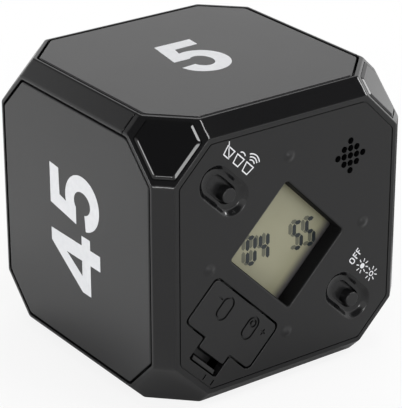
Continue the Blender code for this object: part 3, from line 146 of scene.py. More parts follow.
# Lamp epoxy: water-clear body of a small lamp, hazy where the die and the cup are.
lamp_epoxy, tree, shader, where = new_finish("clear_lamp_epoxy", "#d9dcd6", {"Roughness": 0.08, "IOR": 1.53})
haze = add(tree, "TexNoise", {"Vector": where, "Scale": 1 / 0.0012, "Detail": 1})
tint = add(tree, "ValToRGB", {"Fac": haze})
low, high = tint.color_ramp.elements
low.color, high.color = linear("#c3c9c4"), linear("#eceee9")
settle(tree, shader, {"Base Color": tint})
give(lamp_epoxy, "led_front_top_left", "led_front_top_right", "led_front_bottom_right")


# Display: a liquid crystal cell behind the window, with a reflecting film at its back. Its figures
# are thin dark segments in the cell; the faint shadow each throws on the film behind it is painted, as a
# paler film.

MM = 0.001
CREASE = math.radians(38)
HALF = 32.5
CENTRE = np.array([0, 0.25, HALF])
AXES = {
    "front": [(1, 0, 0), (0, 0, 1), (0, -1, 0)],
    "back": [(-1, 0, 0), (0, 0, 1), (0, 1, 0)],
    "left": [(0, 0, 1), (0, 1, 0), (-1, 0, 0)],
    "right": [(0, 0, -1), (0, 1, 0), (1, 0, 0)],
    "top": [(1, 0, 0), (0, 1, 0), (0, 0, 1)],
    "bottom": [(-1, 0, 0), (0, 1, 0), (0, 0, -1)],
}


def on_face(points, side):
    """Points given as u, v and w of a face, put in the cube."""
    return np.asarray(points) @ np.array(AXES[side], float) + CENTRE


def turned(outline):
    """An outline in a and b, as u and v of the front face: u = (a + b) / root 2, v = (b - a) / root 2."""
    a, b = np.asarray(outline, float).T
    return np.stack([a + b, b - a], 1) / math.sqrt(2)


def offset(outline, out):
    """An anticlockwise outline moved outward: each corner goes along its mitre, the sum of two normals."""
    side = np.roll(outline, -1, 0) - outline
    normal = np.stack([side[:, 1], -side[:, 0]], 1) / np.linalg.norm(side, axis=1, keepdims=True)
    before = np.roll(normal, 1, 0)
    return outline + out * (normal + before) / (1 + (normal * before).sum(1, keepdims=True))


def arc(centre, radii, start, end, steps):
    """Points of an elliptic arc: centre plus the radii times cosine and sine, from one angle to another."""
    turn = np.radians(np.linspace(start, end, steps + 1))
    radii = np.broadcast_to(radii, 2)
    return np.stack([centre[0] + radii[0] * np.cos(turn), centre[1] + radii[1] * np.sin(turn)], 1)


def oval(centre, radii, steps):
    """A closed ellipse, as an arc all the way round without its last point, which repeats the first."""
    return arc(centre, radii, 0, 360, steps)[:-1]


def rounded(corners, radius, steps=6):
    """A polygon with each corner replaced by an arc that touches both of its sides."""
    corners = np.asarray(corners, float)
    back, on = np.roll(corners, 1, 0) - corners, np.roll(corners, -1, 0) - corners
    back /= np.linalg.norm(back, axis=1, keepdims=True)
    on /= np.linalg.norm(on, axis=1, keepdims=True)
    half = np.arccos(np.clip((back * on).sum(1), -1, 1)) / 2
    radius = np.broadcast_to(radius, len(corners))
    inward = (back + on) / np.linalg.norm(back + on, axis=1, keepdims=True)
    middle = corners + inward * (radius / np.sin(half))[:, None]
    reach = (radius / np.tan(half))[:, None]
    first, last = corners + back * reach - middle, corners + on * reach - middle
    share = np.linspace(0, 1, steps + 1)[None, :, None]
    bend = (math.pi - 2 * half)[:, None, None]
    before, after = np.sin((1 - share) * bend), np.sin(share * bend)
    swing = (before * first[:, None] + after * last[:, None]) / np.sin(bend)
    return (middle[:, None] + swing).reshape(-1, 2)


def rectangle(length, width, centre=(0, 0)):
    """The corners of a rectangle, anticlockwise."""
    corner = np.array([(-0.5, -0.5), (0.5, -0.5), (0.5, 0.5), (-0.5, 0.5)])
    return corner * (length, width) + centre


def grid(points):
    """A net of rows and columns of points as four-sided faces, its last column joined to its first."""
    rows, columns = points.shape[:2]
    start = np.arange(rows - 1)[:, None] * columns
    near = np.arange(columns)[None, :]
    far = (near + 1) % columns
    corners = [start + near, start + far, start + far + columns, start + near + columns]
    return points.reshape(-1, 3), [np.stack(corners, -1).reshape(-1, 4)]


def cap(loop):
    """One flat face inside a loop of points."""
    return loop, [np.arange(len(loop))[None]]


def capped(net):
    """A closed form: a net with one flat face over its first row and one over its last."""
    return [grid(net), cap(net[0]), cap(net[-1])]


def below(outline, deep):
    """Points in u and v with their w at a depth below the face: w = HALF - deep."""
    return np.column_stack([outline, np.broadcast_to(HALF - deep, len(outline))])


def levels(outline, profile, side="front"):
    """The net of a wall along an outline: each row of the profile is a way outward and a depth."""
    return on_face([below(offset(outline, out), deep) for out, deep in profile], side)


def walls(outline, profile, side="front"):
    """A wall along an outline, open at both ends."""
    return grid(levels(outline, profile, side))


def inside(points, loops):
    """Whether each point is inside an odd number of loops, by the sides that a ray to its right crosses."""
    x, y = points[:, :1], points[:, 1:]
    crossed = np.zeros(len(points), int)
    for loop in loops:
        (x1, y1), (x2, y2) = loop.T, np.roll(loop, -1, 0).T
        spans = (y1 > y) != (y2 > y)
        rise = np.where(y2 == y1, 1, y2 - y1)
        crossed += (spans & (x < x1 + (y - y1) * (x2 - x1) / rise)).sum(1)
    return crossed % 2 == 1


def flat(loops, deep, side="front"):
    """A flat net of triangles between loops, kept where it is inside an odd number of them."""
    points = np.concatenate(loops)
    ends = np.cumsum([len(loop) for loop in loops])
    sides = [(i, i + 1) for i in range(len(points))]
    for first, last in zip([0, *ends[:-1]], ends):
        sides[last - 1] = (int(last) - 1, int(first))
    found, _, faces, *_ = delaunay_2d_cdt(points.tolist(), sides, [], 1, 1e-7)
    found, faces = np.array([list(point) for point in found]), np.array(faces)
    faces = faces[inside(found[faces].mean(1), loops)]
    return on_face(below(found, deep), side), [faces]


def lid(outline, row):
    """The flat over an outline at one row of its profile."""
    return flat([offset(outline, row[0])], row[1])


def film(loops, deep, thick, side="front"):
    """A thin flat solid between loops, from its outer face at a depth down to its thickness."""
    edges = [walls(loop, [(0, deep), (0, deep + thick)], side) for loop in loops]
    return [flat(loops, deep, side), flat(loops, deep + thick, side), *edges]


def edge_rows(radius, sign, steps=4, lead=0.03):
    """The profile of a rounded edge: a short lead and a quarter circle; sign 1 is a hole, -1 a lid."""
    turn = np.linspace(0, math.pi / 2, steps + 1)
    rows = np.stack([sign * radius * (1 - np.sin(turn)), radius * (1 - np.cos(turn))], 1)
    return [(sign * (radius + lead), 0), *rows.tolist()]


def dress(obj, material, slot, body, *nodes):
    """Gives a piece its finish, its body and the CAD nodes that it stands for."""
    obj.data.materials.append(material)
    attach(obj, body)
    if nodes:
        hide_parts(*nodes)
    return obj


def new_object(name, data):
    """A new object in the scene."""
    obj = bpy.data.objects.new(name, data)
    bpy.context.collection.objects.link(obj)
    return obj


def solid(mesh, shape):
    """An object from a shape: faces outward and smooth, edges past the crease angle sharp."""
    bmesh.ops.recalc_face_normals(shape, faces=shape.faces)
    shape.to_mesh(mesh)
    shape.free()
    mesh.shade_smooth()
    mesh.set_sharp_from_angle(angle=CREASE)
    return new_object(mesh.name, mesh)


def form(name, patches):
    """One object from its patches, with doubled points merged."""
    points, faces, start = [], [], 0
    for corners, blocks in patches:
        points.append(corners * MM)
        for block in blocks:
            faces += (np.asarray(block) + start).tolist()
        start += len(corners)
    mesh = bpy.data.meshes.new(name)
    mesh.from_pydata(np.concatenate(points).tolist(), [], faces)
    shape = bmesh.new()
    shape.from_mesh(mesh)
    bmesh.ops.remove_doubles(shape, verts=shape.verts, dist=0.001 * MM)
    return solid(mesh, shape)


def piece(name, patches, material, slot, body, *nodes):
    """One finished piece from its patches."""
    return dress(form(name, patches), material, slot, body, *nodes)


DISPLAY_DEPTH = 4.3
GLASS_SIZE = (23.6, 22.3)
GLASS_THICKNESS = 1.9

# Polarising film over a reflector: olive grey and nearly matt under the thin shine of its front sheet.
finish = {"Roughness": 0.38, "IOR": 1.49, "Coat Weight": 0.35, "Coat Roughness": 0.06}
polariser, tree, shader, where = new_finish("reflective_polariser_film", "#8f8d76", finish)
mottle = add(tree, "TexNoise", {"Vector": where, "Scale": 1 / 0.006, "Detail": 2})
tint = add(tree, "ValToRGB", {"Fac": mottle})
low, high = tint.color_ramp.elements
low.color, high.color = linear("#908e76"), linear("#97957d")
# Painted shade: the film is painted darker toward its lower right edge, where the window's wall shades it.
lower_right = (math.sqrt(0.5), 0, -math.sqrt(0.5))
along = add(tree, "VectorMath", {"operation": "DOT_PRODUCT", 0: where, 1: lower_right})
shaded_edge = {"Value": along.outputs["Value"], "From Min": -0.0150, "From Max": -0.0122}
shaded_edge = add(tree, "MapRange", shaded_edge)
shaded_edge.interpolation_type = "SMOOTHSTEP"
painted_edge_shade = add(tree, "Mix", {"data_type": "RGBA", "Factor": shaded_edge.outputs[0], 6: tint, 7: linear("#4b494a")})
grain = add(tree, "TexNoise", {"Vector": where, "Scale": 1 / 0.0003, "Detail": 1})
grain = add(tree, "Bump", {"Height": grain, "Strength": 0.15, "Distance": 0.00001})
settle(tree, shader, {"Base Color": painted_edge_shade.outputs["Result"], "Normal": grain})

glass = turned(rectangle(*GLASS_SIZE))
edge = [(-0.2, 0), (-0.05, 0.03), (0, 0.15), (0, GLASS_THICKNESS)]
net = levels(glass, [(out, DISPLAY_DEPTH + deep) for out, deep in edge])
piece("display_glass_cell", capped(net), polariser, "display", "timer", "display_glass")

DIGIT_WIDTH = 2.9
DIGIT_HEIGHT = 7.0
DIGIT_PITCH = 3.43
SEGMENT_WIDTH = 0.95
SEGMENT_GAP = 0.12
SHADOW_SHIFT = (-1.1, 0.42)
LIT = {"0": "abcdef", "4": "bcfg", "5": "acdfg"}
GROUPS = {"04": (-4.8, -1.1), "55": (7.7, -0.9)}


def segment(start, end):
    """A bar from one corner of the figure to another, with pointed ends that stop short of the corners."""
    start, end = np.array(start), np.array(end)
    along = (end - start) / np.linalg.norm(end - start)
    across = np.array([-along[1], along[0]]) * SEGMENT_WIDTH / 2
    near, far = start + along * SEGMENT_GAP, end - along * SEGMENT_GAP
    shoulder = along * SEGMENT_WIDTH / 2
    return np.array([near, near + shoulder - across, far - shoulder - across,
                     far, far - shoulder + across, near + shoulder + across])


def digit(figure, centre):
    """The lit bars of one figure, named a to g clockwise from the top, the last across the middle."""
    x, y = (DIGIT_WIDTH - SEGMENT_WIDTH) / 2, (DIGIT_HEIGHT - SEGMENT_WIDTH) / 2
    ends = {"a": ((-x, y), (x, y)), "b": ((x, y), (x, 0)), "c": ((x, 0), (x, -y)), "d": ((x, -y), (-x, -y)),
            "e": ((-x, -y), (-x, 0)), "f": ((-x, 0), (-x, y)), "g": ((-x, 0), (x, 0))}
    return [segment(*ends[name]) + centre for name in LIT[figure]]


bars = []
for figures, (u, v) in GROUPS.items():
    for figure, step in zip(figures, (-0.5, 0.5)):
        bars += digit(figure, (u + step * DIGIT_PITCH, v))

# Liquid crystal, dark where it is switched on: blue-black and smooth; its shadow is painted, a weak olive
# grey film.
for name, finish_name, (colour, dark, pale), rough, ior, shift, thick in (
        ("display_segments", "liquid_crystal_dark", ("#2b3134", "#1d2326", "#2c3235"),
         0.3, 1.5, (0, 0), 0.04),
        ("display_segment_shadows", "shadow_on_reflector", ("#6c6b5b", "#595a4d", "#68685a"),
         0.4, 1.49, SHADOW_SHIFT, 0.02)):
    crystal, tree, shader, where = new_finish(finish_name, colour, {"Roughness": rough, "IOR": ior})
    fade = add(tree, "TexNoise", {"Vector": where, "Scale": 1 / 0.0015, "Detail": 2})
    tint = add(tree, "ValToRGB", {"Fac": fade})
    low, high = tint.color_ramp.elements
    low.color, high.color = linear(dark), linear(pale)
    settle(tree, shader, {"Base Color": tint})
    patches = [patch for bar in bars for patch in film([bar + shift], DISPLAY_DEPTH - thick, thick)]
    piece(name, patches, crystal, "display", "timer")

# Zebra strips: silicone rubber with conducting layers, which join the cell to the board.
zebra, tree, shader, where = new_finish("zebra_strip_silicone", "#b05a55", {"Roughness": 0.65, "IOR": 1.42})
turn = add(tree, "Mapping", {"Vector": where, "Rotation": (0, math.radians(45), 0)})
layer = add(tree, "TexWave", {"Vector": turn, "Scale": 1 / 0.0018, "bands_direction": "X", "Distortion": 0})
tint = add(tree, "ValToRGB", {"Fac": layer.outputs["Fac"]})
low, high = tint.color_ramp.elements
low.color, high.color = linear("#c4736c"), linear("#2a1c1b")
settle(tree, shader, {"Base Color": tint})
give(zebra, "zebra_strip_upper", "zebra_strip_lower")


# Housing: two shells of black ABS, a front one with the display face and a deep rear one, which meet
# at a seam on the edge bars. Four long screws under the rear number plate hold them together.

EDGE_SUM = 61.6
CORNER_SUM = 82.3
EDGE_POWER = 600
OUTLINE_POWER = 240
PLATE_HALF = 28.0
PLATE_DIAGONAL = 33.94
PLATE_GAP = 0.52
BED_DEPTH = 1.9
BED_EDGE = 0.14
FACE_HALF = 29.1
FACE_DIAGONAL = 35.21
LINE_HALF = 28.15
LINE_DIAGONAL = 34.15
FACE_WALL = 2.0
INNER_HALF = 29.1
INNER_SUM = 76.6
SEAM_Y = -18.55
SEAM_GAP = 0.27
SEAM_CHAMFER = 0.12

# Moulded ABS with a spark-eroded grain: near black, and its semi-gloss picks up pale surroundings. The
# display face has a coarser grain, so it is duller, and the well behind the window is matt.
housing_abs, tree, shader, where = new_finish("moulded_abs_semi_gloss", "#101011", {"IOR": 1.54})
grain = add(tree, "TexNoise", {"Vector": where, "Scale": 1 / 0.00035, "Detail": 3})
cloud = add(tree, "TexNoise", {"Vector": where, "Scale": 1 / 0.011, "Detail": 3})
depth = add(tree, "SeparateXYZ", {"Vector": where})
off_face = add(tree, "MapRange", {"Value": depth.outputs["Y"], "From Min": -0.0322, "From Max": -0.0320})
well_middle = (0, -0.029, HALF * MM)
well = add(tree, "VectorMath", {"operation": "DISTANCE", 0: where, 1: well_middle}).outputs["Value"]
well = {"Value": well, "From Min": 0.0155, "From Max": 0.0157, "To Min": 0.7, "To Max": 0.13}
well = add(tree, "MapRange", well)
polish = add(tree, "MapRange", {"Value": off_face.outputs[0], "To Min": 0.30, "To Max": well.outputs[0]})
shine = {"Value": polish.outputs[0], "From Min": 0.35, "From Max": 0.7, "To Min": 0.5, "To Max": 0.08}
shine = add(tree, "MapRange", shine)
dull = add(tree, "MapRange", {"Value": cloud, "To Min": -0.03, "To Max": 0.03})
dull = add(tree, "Math", {"operation": "ADD", 0: polish.outputs[0], 1: dull.outputs[0]})
bump = add(tree, "Bump", {"Height": grain, "Strength": 0.10, "Distance": 0.00001})
settle(tree, shader, {"Roughness": dull, "Specular IOR Level": shine.outputs[0], "Normal": bump})


def power_norm(ratio, power):
    """The k-norm of ratios along the last axis, worked out from the largest so that it can't overflow."""
    top = ratio.max(-1, keepdims=True)
    return top * ((ratio / top) ** power).sum(-1, keepdims=True) ** (1 / power)


signs = np.array(np.meshgrid([-1, 0, 1], [-1, 0, 1], [-1, 0, 1])).reshape(3, -1).T
signs = signs[np.abs(signs).sum(1) > 0]
planes = signs / np.array([0, HALF, EDGE_SUM, CORNER_SUM])[np.abs(signs).sum(1)][:, None]


def skin(direction):
    """The rounded cube's point along a direction, measured from the middle of the cube.

    Each of its 26 flats gives the ratio of a point's height to the flat's distance. The surface is
    where the k-norm of the ratios is 1, so flats stay flat and the edges between them come out round."""
    return direction / power_norm(np.maximum(direction @ planes.T, 0), EDGE_POWER)


# Columns of a face's net go out from its middle to the edges of a square, close together where the
# outlines have their corners. The neighbours use the same ones, so that the nets join.
step = np.concatenate([np.linspace(0, 0.60, 5), np.linspace(0.625, 0.775, 21), np.linspace(0.80, 1, 8)])
run = np.concatenate([-step[::-1], step[1:-1]])
one = np.ones_like(run)
edges = (one, run), (-run, one), (-one, -run), (run, -one)
square = np.concatenate([np.stack(edge, 1) for edge in edges])
column_turn = np.arctan2(square[:, 1], square[:, 0])
column_way = np.stack([np.cos(column_turn), np.sin(column_turn)], 1)


def eight_sided(half, diagonal, grow=0):
    """The distance to a rounded octagon in each column: the k-norm of the ratios to its eight sides."""
    reach = np.where(np.arange(8) % 2, diagonal, half) + grow
    ratio = np.cos(column_turn[:, None] - np.arange(8) * math.pi / 4) / reach
    return 1 / power_norm(np.maximum(ratio, 0), OUTLINE_POWER)[:, 0]


def ring(reach, height):
    """One row of a face's net: a distance from its middle at each column, and one height for all."""
    return np.column_stack([column_way * reach[:, None], np.full(len(reach), height)])


def outer_rows(start):
    """The rows from a plate's land or the moulded line, over the cube's rounded edge, to the square."""
    face_edge = eight_sided(FACE_HALF, FACE_DIAGONAL)
    last = HALF * np.linalg.norm(square, axis=1)
    near = [face_edge + out for out in (-0.3, -0.2, -0.1, 0, 0.12, 0.25, 0.42, 0.62, 0.85)]
    far = [near[-1] + (last - near[-1]) * share for share in (0.3, 0.6, 0.8, 1)]
    rows = [ring(reach, HALF) for reach in (start, *near, *far)]
    return skin(np.array(rows))


bed_rows = [ring(eight_sided(PLATE_HALF, PLATE_DIAGONAL, PLATE_GAP + out), HALF - deep)
            for out, deep in [(0, BED_DEPTH), *edge_rows(BED_EDGE, 1)[:0:-1]]]
bed_land = eight_sided(PLATE_HALF, PLATE_DIAGONAL, PLATE_GAP + BED_EDGE + 0.02)
bed_net = np.concatenate([bed_rows, outer_rows(bed_land)])
patches = []
for side in ("back", "left", "right", "top", "bottom"):
    points = on_face(bed_net, side)
    patches += [grid(points), cap(points[0])]

# The display face: the moulded line, and holes and raised forms set in one flat net.
line_profile = [(-0.36, 0), (-0.30, 0), (-0.24, 0.2), (-0.06, 0.2), (0, 0), (0.06, 0)]
line_rows = [ring(eight_sided(LINE_HALF, LINE_DIAGONAL, out), HALF - deep) for out, deep in line_profile]
front_land = eight_sided(LINE_HALF, LINE_DIAGONAL, 0.12)
front_net = np.concatenate([line_rows, outer_rows(front_land)])
patches.append(grid(on_face(front_net, "front")))
face_loops = [front_net[0][:, :2]]
inner_loops = []

# Window: a plain rounded hole with a collar behind it that ends just above the glass.
WINDOW = (21.6, 20.3)
WINDOW_EDGE = 0.6
COLLAR_WALL = 1.2
COLLAR_END = DISPLAY_DEPTH - 0.3
window = turned(rounded(rectangle(*WINDOW), WINDOW_EDGE))
profile = [*edge_rows(WINDOW_EDGE, 1, 7), (0, COLLAR_END - 0.1), (0, COLLAR_END),
           (COLLAR_WALL, COLLAR_END), (COLLAR_WALL, FACE_WALL)]
patches.append(walls(window, profile))
face_loops.append(offset(window, profile[0][0]))
inner_loops.append(offset(window, COLLAR_WALL))

# Switch dishes: a long dish, and the knob's slot through its floor. Its flank falls by a mix of a
# smooth step, 3 s squared - 2 s cubed, and a straight slope, s.
SWITCH_PLACE = 23.8
DISH_RADIUS = 4.1
DISH_STRAIGHT = 3.0
DISH_DEPTH = 1.1
DISH_FLANK = 1.4
KNOB_RADIUS = 1.7
KNOB_STEP = 2.0
KNOB_CLEARANCE = 0.45


def stadium(straight, radius, middle, steps=28):
    """Two half circles joined by straights, in a and b, anticlockwise."""
    return np.concatenate([arc((middle + straight, 0), radius, -90, 90, steps),
                           arc((middle - straight, 0), radius, 90, 270, steps)])


slope = np.linspace(0, 1, 9)
fall = 0.35 * (slope ** 2 * (3 - 2 * slope)) + 0.65 * slope
flank = np.stack([DISH_RADIUS + 0.10 - DISH_FLANK * slope, DISH_DEPTH * fall], 1)
slot_radius = KNOB_RADIUS + KNOB_CLEARANCE
for middle in (-SWITCH_PLACE, SWITCH_PLACE):
    rows = [(DISH_STRAIGHT, DISH_RADIUS + 0.20, 0)]
    rows += [(DISH_STRAIGHT, radius, deep) for radius, deep in flank]
    rows += [(KNOB_STEP, slot_radius + out, DISH_DEPTH + deep) for out, deep in edge_rows(0.12, 1)]
    rows += [(KNOB_STEP, slot_radius, FACE_WALL)]
    net = [below(turned(stadium(straight, radius, middle)), deep) for straight, radius, deep in rows]
    patches.append(grid(on_face(net, "front")))
    face_loops.append(net[0][:, :2])
    inner_loops.append(net[-1][:, :2])

# Sounder grille: thirteen moulded holes in a diamond.
SOUNDER_PLACE = 23.3
GRILLE_PITCH = 1.7
GRILLE_RADIUS = 0.75
middle_u, middle_v = turned([(0, SOUNDER_PLACE)])[0]
for i in range(-2, 3):
    for j in range(-2 + abs(i), 3 - abs(i)):
        place = (middle_u + i * GRILLE_PITCH, middle_v + j * GRILLE_PITCH)
        hole = oval(place, GRILLE_RADIUS, 20)
        profile = [*edge_rows(0.07, 1, 3, 0.01), (0, FACE_WALL)]
        patches.append(walls(hole, profile))
        face_loops.append(offset(hole, profile[0][0]))
        inner_loops.append(hole)

# Door opening: the plate's rectangle, the tongue's notch and the finger slot beyond it.
DOOR = (23.4, 12.0)
DOOR_B = -20.4
DOOR_GAP = 0.42
OPENING_ROUNDS = (1.5, 0.5, 0.6)
TONGUE_WIDTH = 9.5
TONGUE_LENGTH = 2.5
FINGER_SLOT = 2.8
side_a, top_b, low_b = DOOR[0] / 2, DOOR_B + DOOR[1] / 2, DOOR_B - DOOR[1] / 2
notch_a, slot_b = TONGUE_WIDTH / 2, DOOR_B - DOOR[1] / 2 - TONGUE_LENGTH - FINGER_SLOT


def tongued(side, top, low, tongue, end, rounds):
    """A rectangle with a tongue, rounded at its corners, at the tongue's root and at the tongue's end."""
    corner, root, tip = rounds
    outline = [(side, top), (-side, top), (-side, low), (-tongue, low),
               (-tongue, end), (tongue, end), (tongue, low), (side, low)]
    return turned(rounded(outline, [corner, corner, corner, root, tip, tip, root, corner]))


opening = tongued(side_a, top_b, low_b, notch_a, slot_b, OPENING_ROUNDS)
profile = [*edge_rows(0.15, 1), (0, FACE_WALL)]
patches.append(walls(opening, profile))
face_loops.append(offset(opening, profile[0][0]))
inner_loops.append(opening)

# Catch marks: two short grooves beyond the finger slot.
CATCH_MARK = (0.4, 1.4)
CATCH_PROFILE = [(0.09, 0), (0.06, 0), (0, 0.05), (-0.04, 0.35)]
for along in (2.05, 4.85):
    groove = turned(rounded(rectangle(*CATCH_MARK, (along, slot_b - 1.15)), 0.15, 3))
    patches += [walls(groove, CATCH_PROFILE), lid(groove, CATCH_PROFILE[-1])]
    face_loops.append(offset(groove, CATCH_PROFILE[0][0]))

# Feet: four small domes, on which the display face can lie; each rises inward by the square of a sine.
FOOT_PLACE = 20.5
FOOT_RADIUS = 1.7
FOOT_RISE = 0.5
share = np.linspace(0, 1, 10)[:-1]
side_view = np.stack([FOOT_RADIUS * (1 - share), -FOOT_RISE * np.sin(math.pi / 2 * share) ** 2], 1)
side_view = [(FOOT_RADIUS + 0.05, 0), *side_view]
for u, v in ((FOOT_PLACE, 0), (-FOOT_PLACE, 0), (0, FOOT_PLACE), (0, -FOOT_PLACE)):
    net = [below(oval((u, v), radius, 24), deep) for radius, deep in side_view]
    patches += [grid(on_face(net, "front")), cap(on_face(net[-1], "front"))]
    face_loops.append(net[0][:, :2])

patches += [flat(face_loops, 0)]

# The inside of the wall: a plain box with cut corners, its front face a wall's thickness below.
inner_front = HALF - FACE_WALL
corner_ways = np.array([(x, y, z) for x in (-1, 1) for y in (-1, 1) for z in (-1, 1)])
corners = []
for way in corner_ways:
    reach = np.array([INNER_HALF, inner_front if way[1] < 0 else INNER_HALF, INNER_HALF])
    cut_back = INNER_SUM - reach.sum() + reach
    corners += [np.where(np.arange(3) == axis, cut_back, reach) * way for axis in range(3)]
corners = np.array(corners)
blocks = [np.arange(24).reshape(8, 3)]
for axis in range(3):
    others = [i for i in range(3) if i != axis]
    for sign in (-1, 1):
        limit = (corners[:, axis] * sign).max()
        found = np.flatnonzero(np.isclose(corners[:, axis] * sign, limit))
        order = np.argsort(np.arctan2(corners[found, others[1]], corners[found, others[0]]))
        if (axis, sign) == (1, -1):
            inner_loops.insert(0, corners[found[order]][:, [0, 2]])
        else:
            blocks.append(found[order][None])
patches += [(corners + CENTRE, blocks), flat(inner_loops, FACE_WALL)]

# Corner pads: the six-sided outline that the lenses have, moulded on the corners without a lamp.
LENS_LONG = 5.31
LENS_SHORT = 6.70
LENS_POWER = 70
LENS_RISE = 0.2
CORNER_REACH = CORNER_SUM / math.sqrt(3)
LENS_CORNERS = {"top_left": (-1, -1, 1), "top_right": (1, -1, 1), "bottom_right": (1, -1, -1)}


def on_corner(points, way):
    """Points in the plane of a cut corner, with their distance from the cube's middle, put in the cube."""
    out = np.array(way) / math.sqrt(3)
    first = np.array([2, -1, -1]) * way / math.sqrt(6)
    return np.asarray(points) @ np.array([first, np.cross(out, first), out]) + CENTRE


def six_sided(turn, grow):
    """The distance to a rounded hexagon at each angle, with its long and short sides by turns."""
    reach = np.where(np.arange(6) % 2, LENS_SHORT, LENS_LONG) + grow
    ratio = np.cos(turn[:, None] - np.arange(6) * math.pi / 3) / reach
    return 1 / power_norm(np.maximum(ratio, 0), LENS_POWER)[:, 0]


def six_sided_net(profile, way):
    """The rows of a six-sided form on a corner: each grows the outline and lifts it above the cut corner."""
    turn = np.radians(np.arange(0, 360, 2.5))
    rows = []
    for grow, lift in profile:
        reach = six_sided(turn, grow)
        height = np.full(len(turn), CORNER_REACH + lift)
        rows.append(np.stack([np.cos(turn) * reach, np.sin(turn) * reach, height], 1))
    return on_corner(rows, way)


pad_profile = [(0, -0.4), (0, 0.02), (-0.06, 0.09), (-0.30, 0.17), (-0.42, LENS_RISE), (-0.50, LENS_RISE)]
for way in corner_ways:
    if tuple(way) not in LENS_CORNERS.values():
        patches += capped(six_sided_net(pad_profile, way))
whole = form("housing_whole", patches)

# Lens seats: shallow six-sided beds cut in the three corners that carry a lamp.
SEAT_DEPTH = 0.6
SEAT_GAP = 0.16
for name, way in LENS_CORNERS.items():
    net = six_sided_net([(SEAT_GAP, -SEAT_DEPTH), (SEAT_GAP, 1)], way)
    cutter = whole.modifiers.new(name, "BOOLEAN")
    cutter.object = form("seat_" + name, capped(net))
    cutter.operation = "DIFFERENCE"
    cutter.solver = "EXACT"
cut_whole = bpy.data.meshes.new_from_object(whole.evaluated_get(bpy.context.evaluated_depsgraph_get()))
for name in LENS_CORNERS:
    bpy.data.objects.remove(bpy.data.objects["seat_" + name])
bpy.data.objects.remove(whole)


def shell(name, toward):
    """One shell of the housing: the whole cut at the seam, its rim broken by a small chamfer and closed."""
    shape = bmesh.new()
    shape.from_mesh(cut_whole)
    edge = (SEAM_Y + toward * SEAM_GAP / 2) * MM
    for place, clear in ((edge + toward * SEAM_CHAMFER * MM, False), (edge, True)):
        parts = [*shape.verts, *shape.edges, *shape.faces]
        cut = bmesh.ops.bisect_plane(shape, geom=parts, dist=1e-8, plane_co=(0, place, 0),
                                     plane_no=(0, -toward, 0), clear_outer=clear)
    rim = [part for part in cut["geom_cut"] if isinstance(part, bmesh.types.BMEdge)]
    shape.normal_update()
    for vertex in {corner for line in rim for corner in line.verts}:
        if max(abs(vertex.co.x), abs(vertex.co.z - CENTRE[2] * MM)) > (INNER_HALF + 0.5) * MM:
            out = vertex.normal.copy()
            out.y = 0
            vertex.co -= out.normalized() * SEAM_CHAMFER * MM
    bmesh.ops.triangle_fill(shape, use_beauty=True, edges=rim)
    return solid(bpy.data.meshes.new(name), shape)


dress(shell("front_housing", -1), housing_abs, "housing", "timer", "front_shell")
dress(shell("rear_housing", 1), housing_abs, "housing", "timer", "rear_shell")


# Corner lenses: smoked acrylic over the lamps, polished, with a narrow bevel all round. Each is a
# push fit in its seat and stands a little proud of the corner.

# Smoked acrylic: jet black and mirror smooth, so its bevel shows as one thin bright line.
acrylic, tree, shader, where = new_finish("smoked_acrylic_polished", "#0b0b0c", {"IOR": 1.49})
smear = add(tree, "TexNoise", {"Vector": where, "Scale": 1 / 0.004, "Detail": 4})
dull = add(tree, "MapRange", {"Value": smear, "To Min": 0.02, "To Max": 0.07})
settle(tree, shader, {"Roughness": dull.outputs[0]})
lens_profile = [(0, -0.5), (0, -0.12), (-0.03, -0.04), (-0.09, 0.0),
                (-0.62, 0.25), (-0.70, 0.28), (-0.80, 0.29), (-0.95, 0.29)]
for name, way in LENS_CORNERS.items():
    net = six_sided_net(lens_profile, way)
    piece("lens_" + name, capped(net), acrylic, "lens", "timer", "lens_front_" + name)


# Slide knobs: a round peg on a plate that closes the slot from below; the plate's socket takes the
# lever of the switch on the board. Both stand at the lower right end of their slots.

# Moulded ABS of the moving parts: black, a shade duller than the housing.
trim_abs, tree, shader, where = new_finish("moulded_abs_satin", "#141415", {"IOR": 1.54})
grain = add(tree, "TexNoise", {"Vector": where, "Scale": 1 / 0.0003, "Detail": 3})
cloud = add(tree, "TexNoise", {"Vector": where, "Scale": 1 / 0.005, "Detail": 3})
dull = add(tree, "MapRange", {"Value": cloud, "To Min": 0.26, "To Max": 0.36})
bump = add(tree, "Bump", {"Height": grain, "Strength": 0.15, "Distance": 0.00001})
settle(tree, shader, {"Roughness": dull.outputs[0], "Normal": bump})
PLATE_TOP = FACE_WALL + 0.3
PLATE_BACK = PLATE_TOP + 0.8
SHIELD = (12.7, 5.2)
for name, middle in (("volume", -SWITCH_PLACE), ("light", SWITCH_PLACE)):
    rest = middle + KNOB_STEP
    peg = turned(oval((rest, 0), KNOB_RADIUS, 32))
    profile = [*edge_rows(0.3, -1), (0, PLATE_TOP)]
    shield = turned(rounded(rectangle(*SHIELD, (rest, 0)), 0.4))
    shield_profile = [(-0.15, PLATE_TOP), (-0.04, PLATE_TOP + 0.04), (0, PLATE_TOP + 0.15), (0, PLATE_BACK)]
    net = levels(peg, profile)
    patches = [grid(net), cap(net[0]), walls(shield, shield_profile),
               flat([offset(shield, shield_profile[0][0]), peg], PLATE_TOP), lid(shield, shield_profile[-1])]
    piece(name + "_slide_knob", patches, trim_abs, "satin_trim", name + "_knob", name + "_knob")


# Battery box and wires: a black moulded well for two AAA cells, end on to the display face. Its plated
# contacts and the cells have their finishes from the board's section.
give(housing_abs, "battery_box")

# Wire insulation: soft PVC, slightly waxy.
for name, colour in (("red", "#b3221c"), ("black", "#1d1d1e")):
    finish = {"Roughness": 0.4, "IOR": 1.53}
    insulation, tree, shader, where = new_finish("pvc_insulation_" + name, colour, finish)
    ripple = add(tree, "TexNoise", {"Vector": where, "Scale": 1 / 0.001, "Detail": 2})
    bump = add(tree, "Bump", {"Height": ripple, "Strength": 0.3, "Distance": 0.00005})
    settle(tree, shader, {"Normal": bump})
    give(insulation, "battery_wire_" + name)


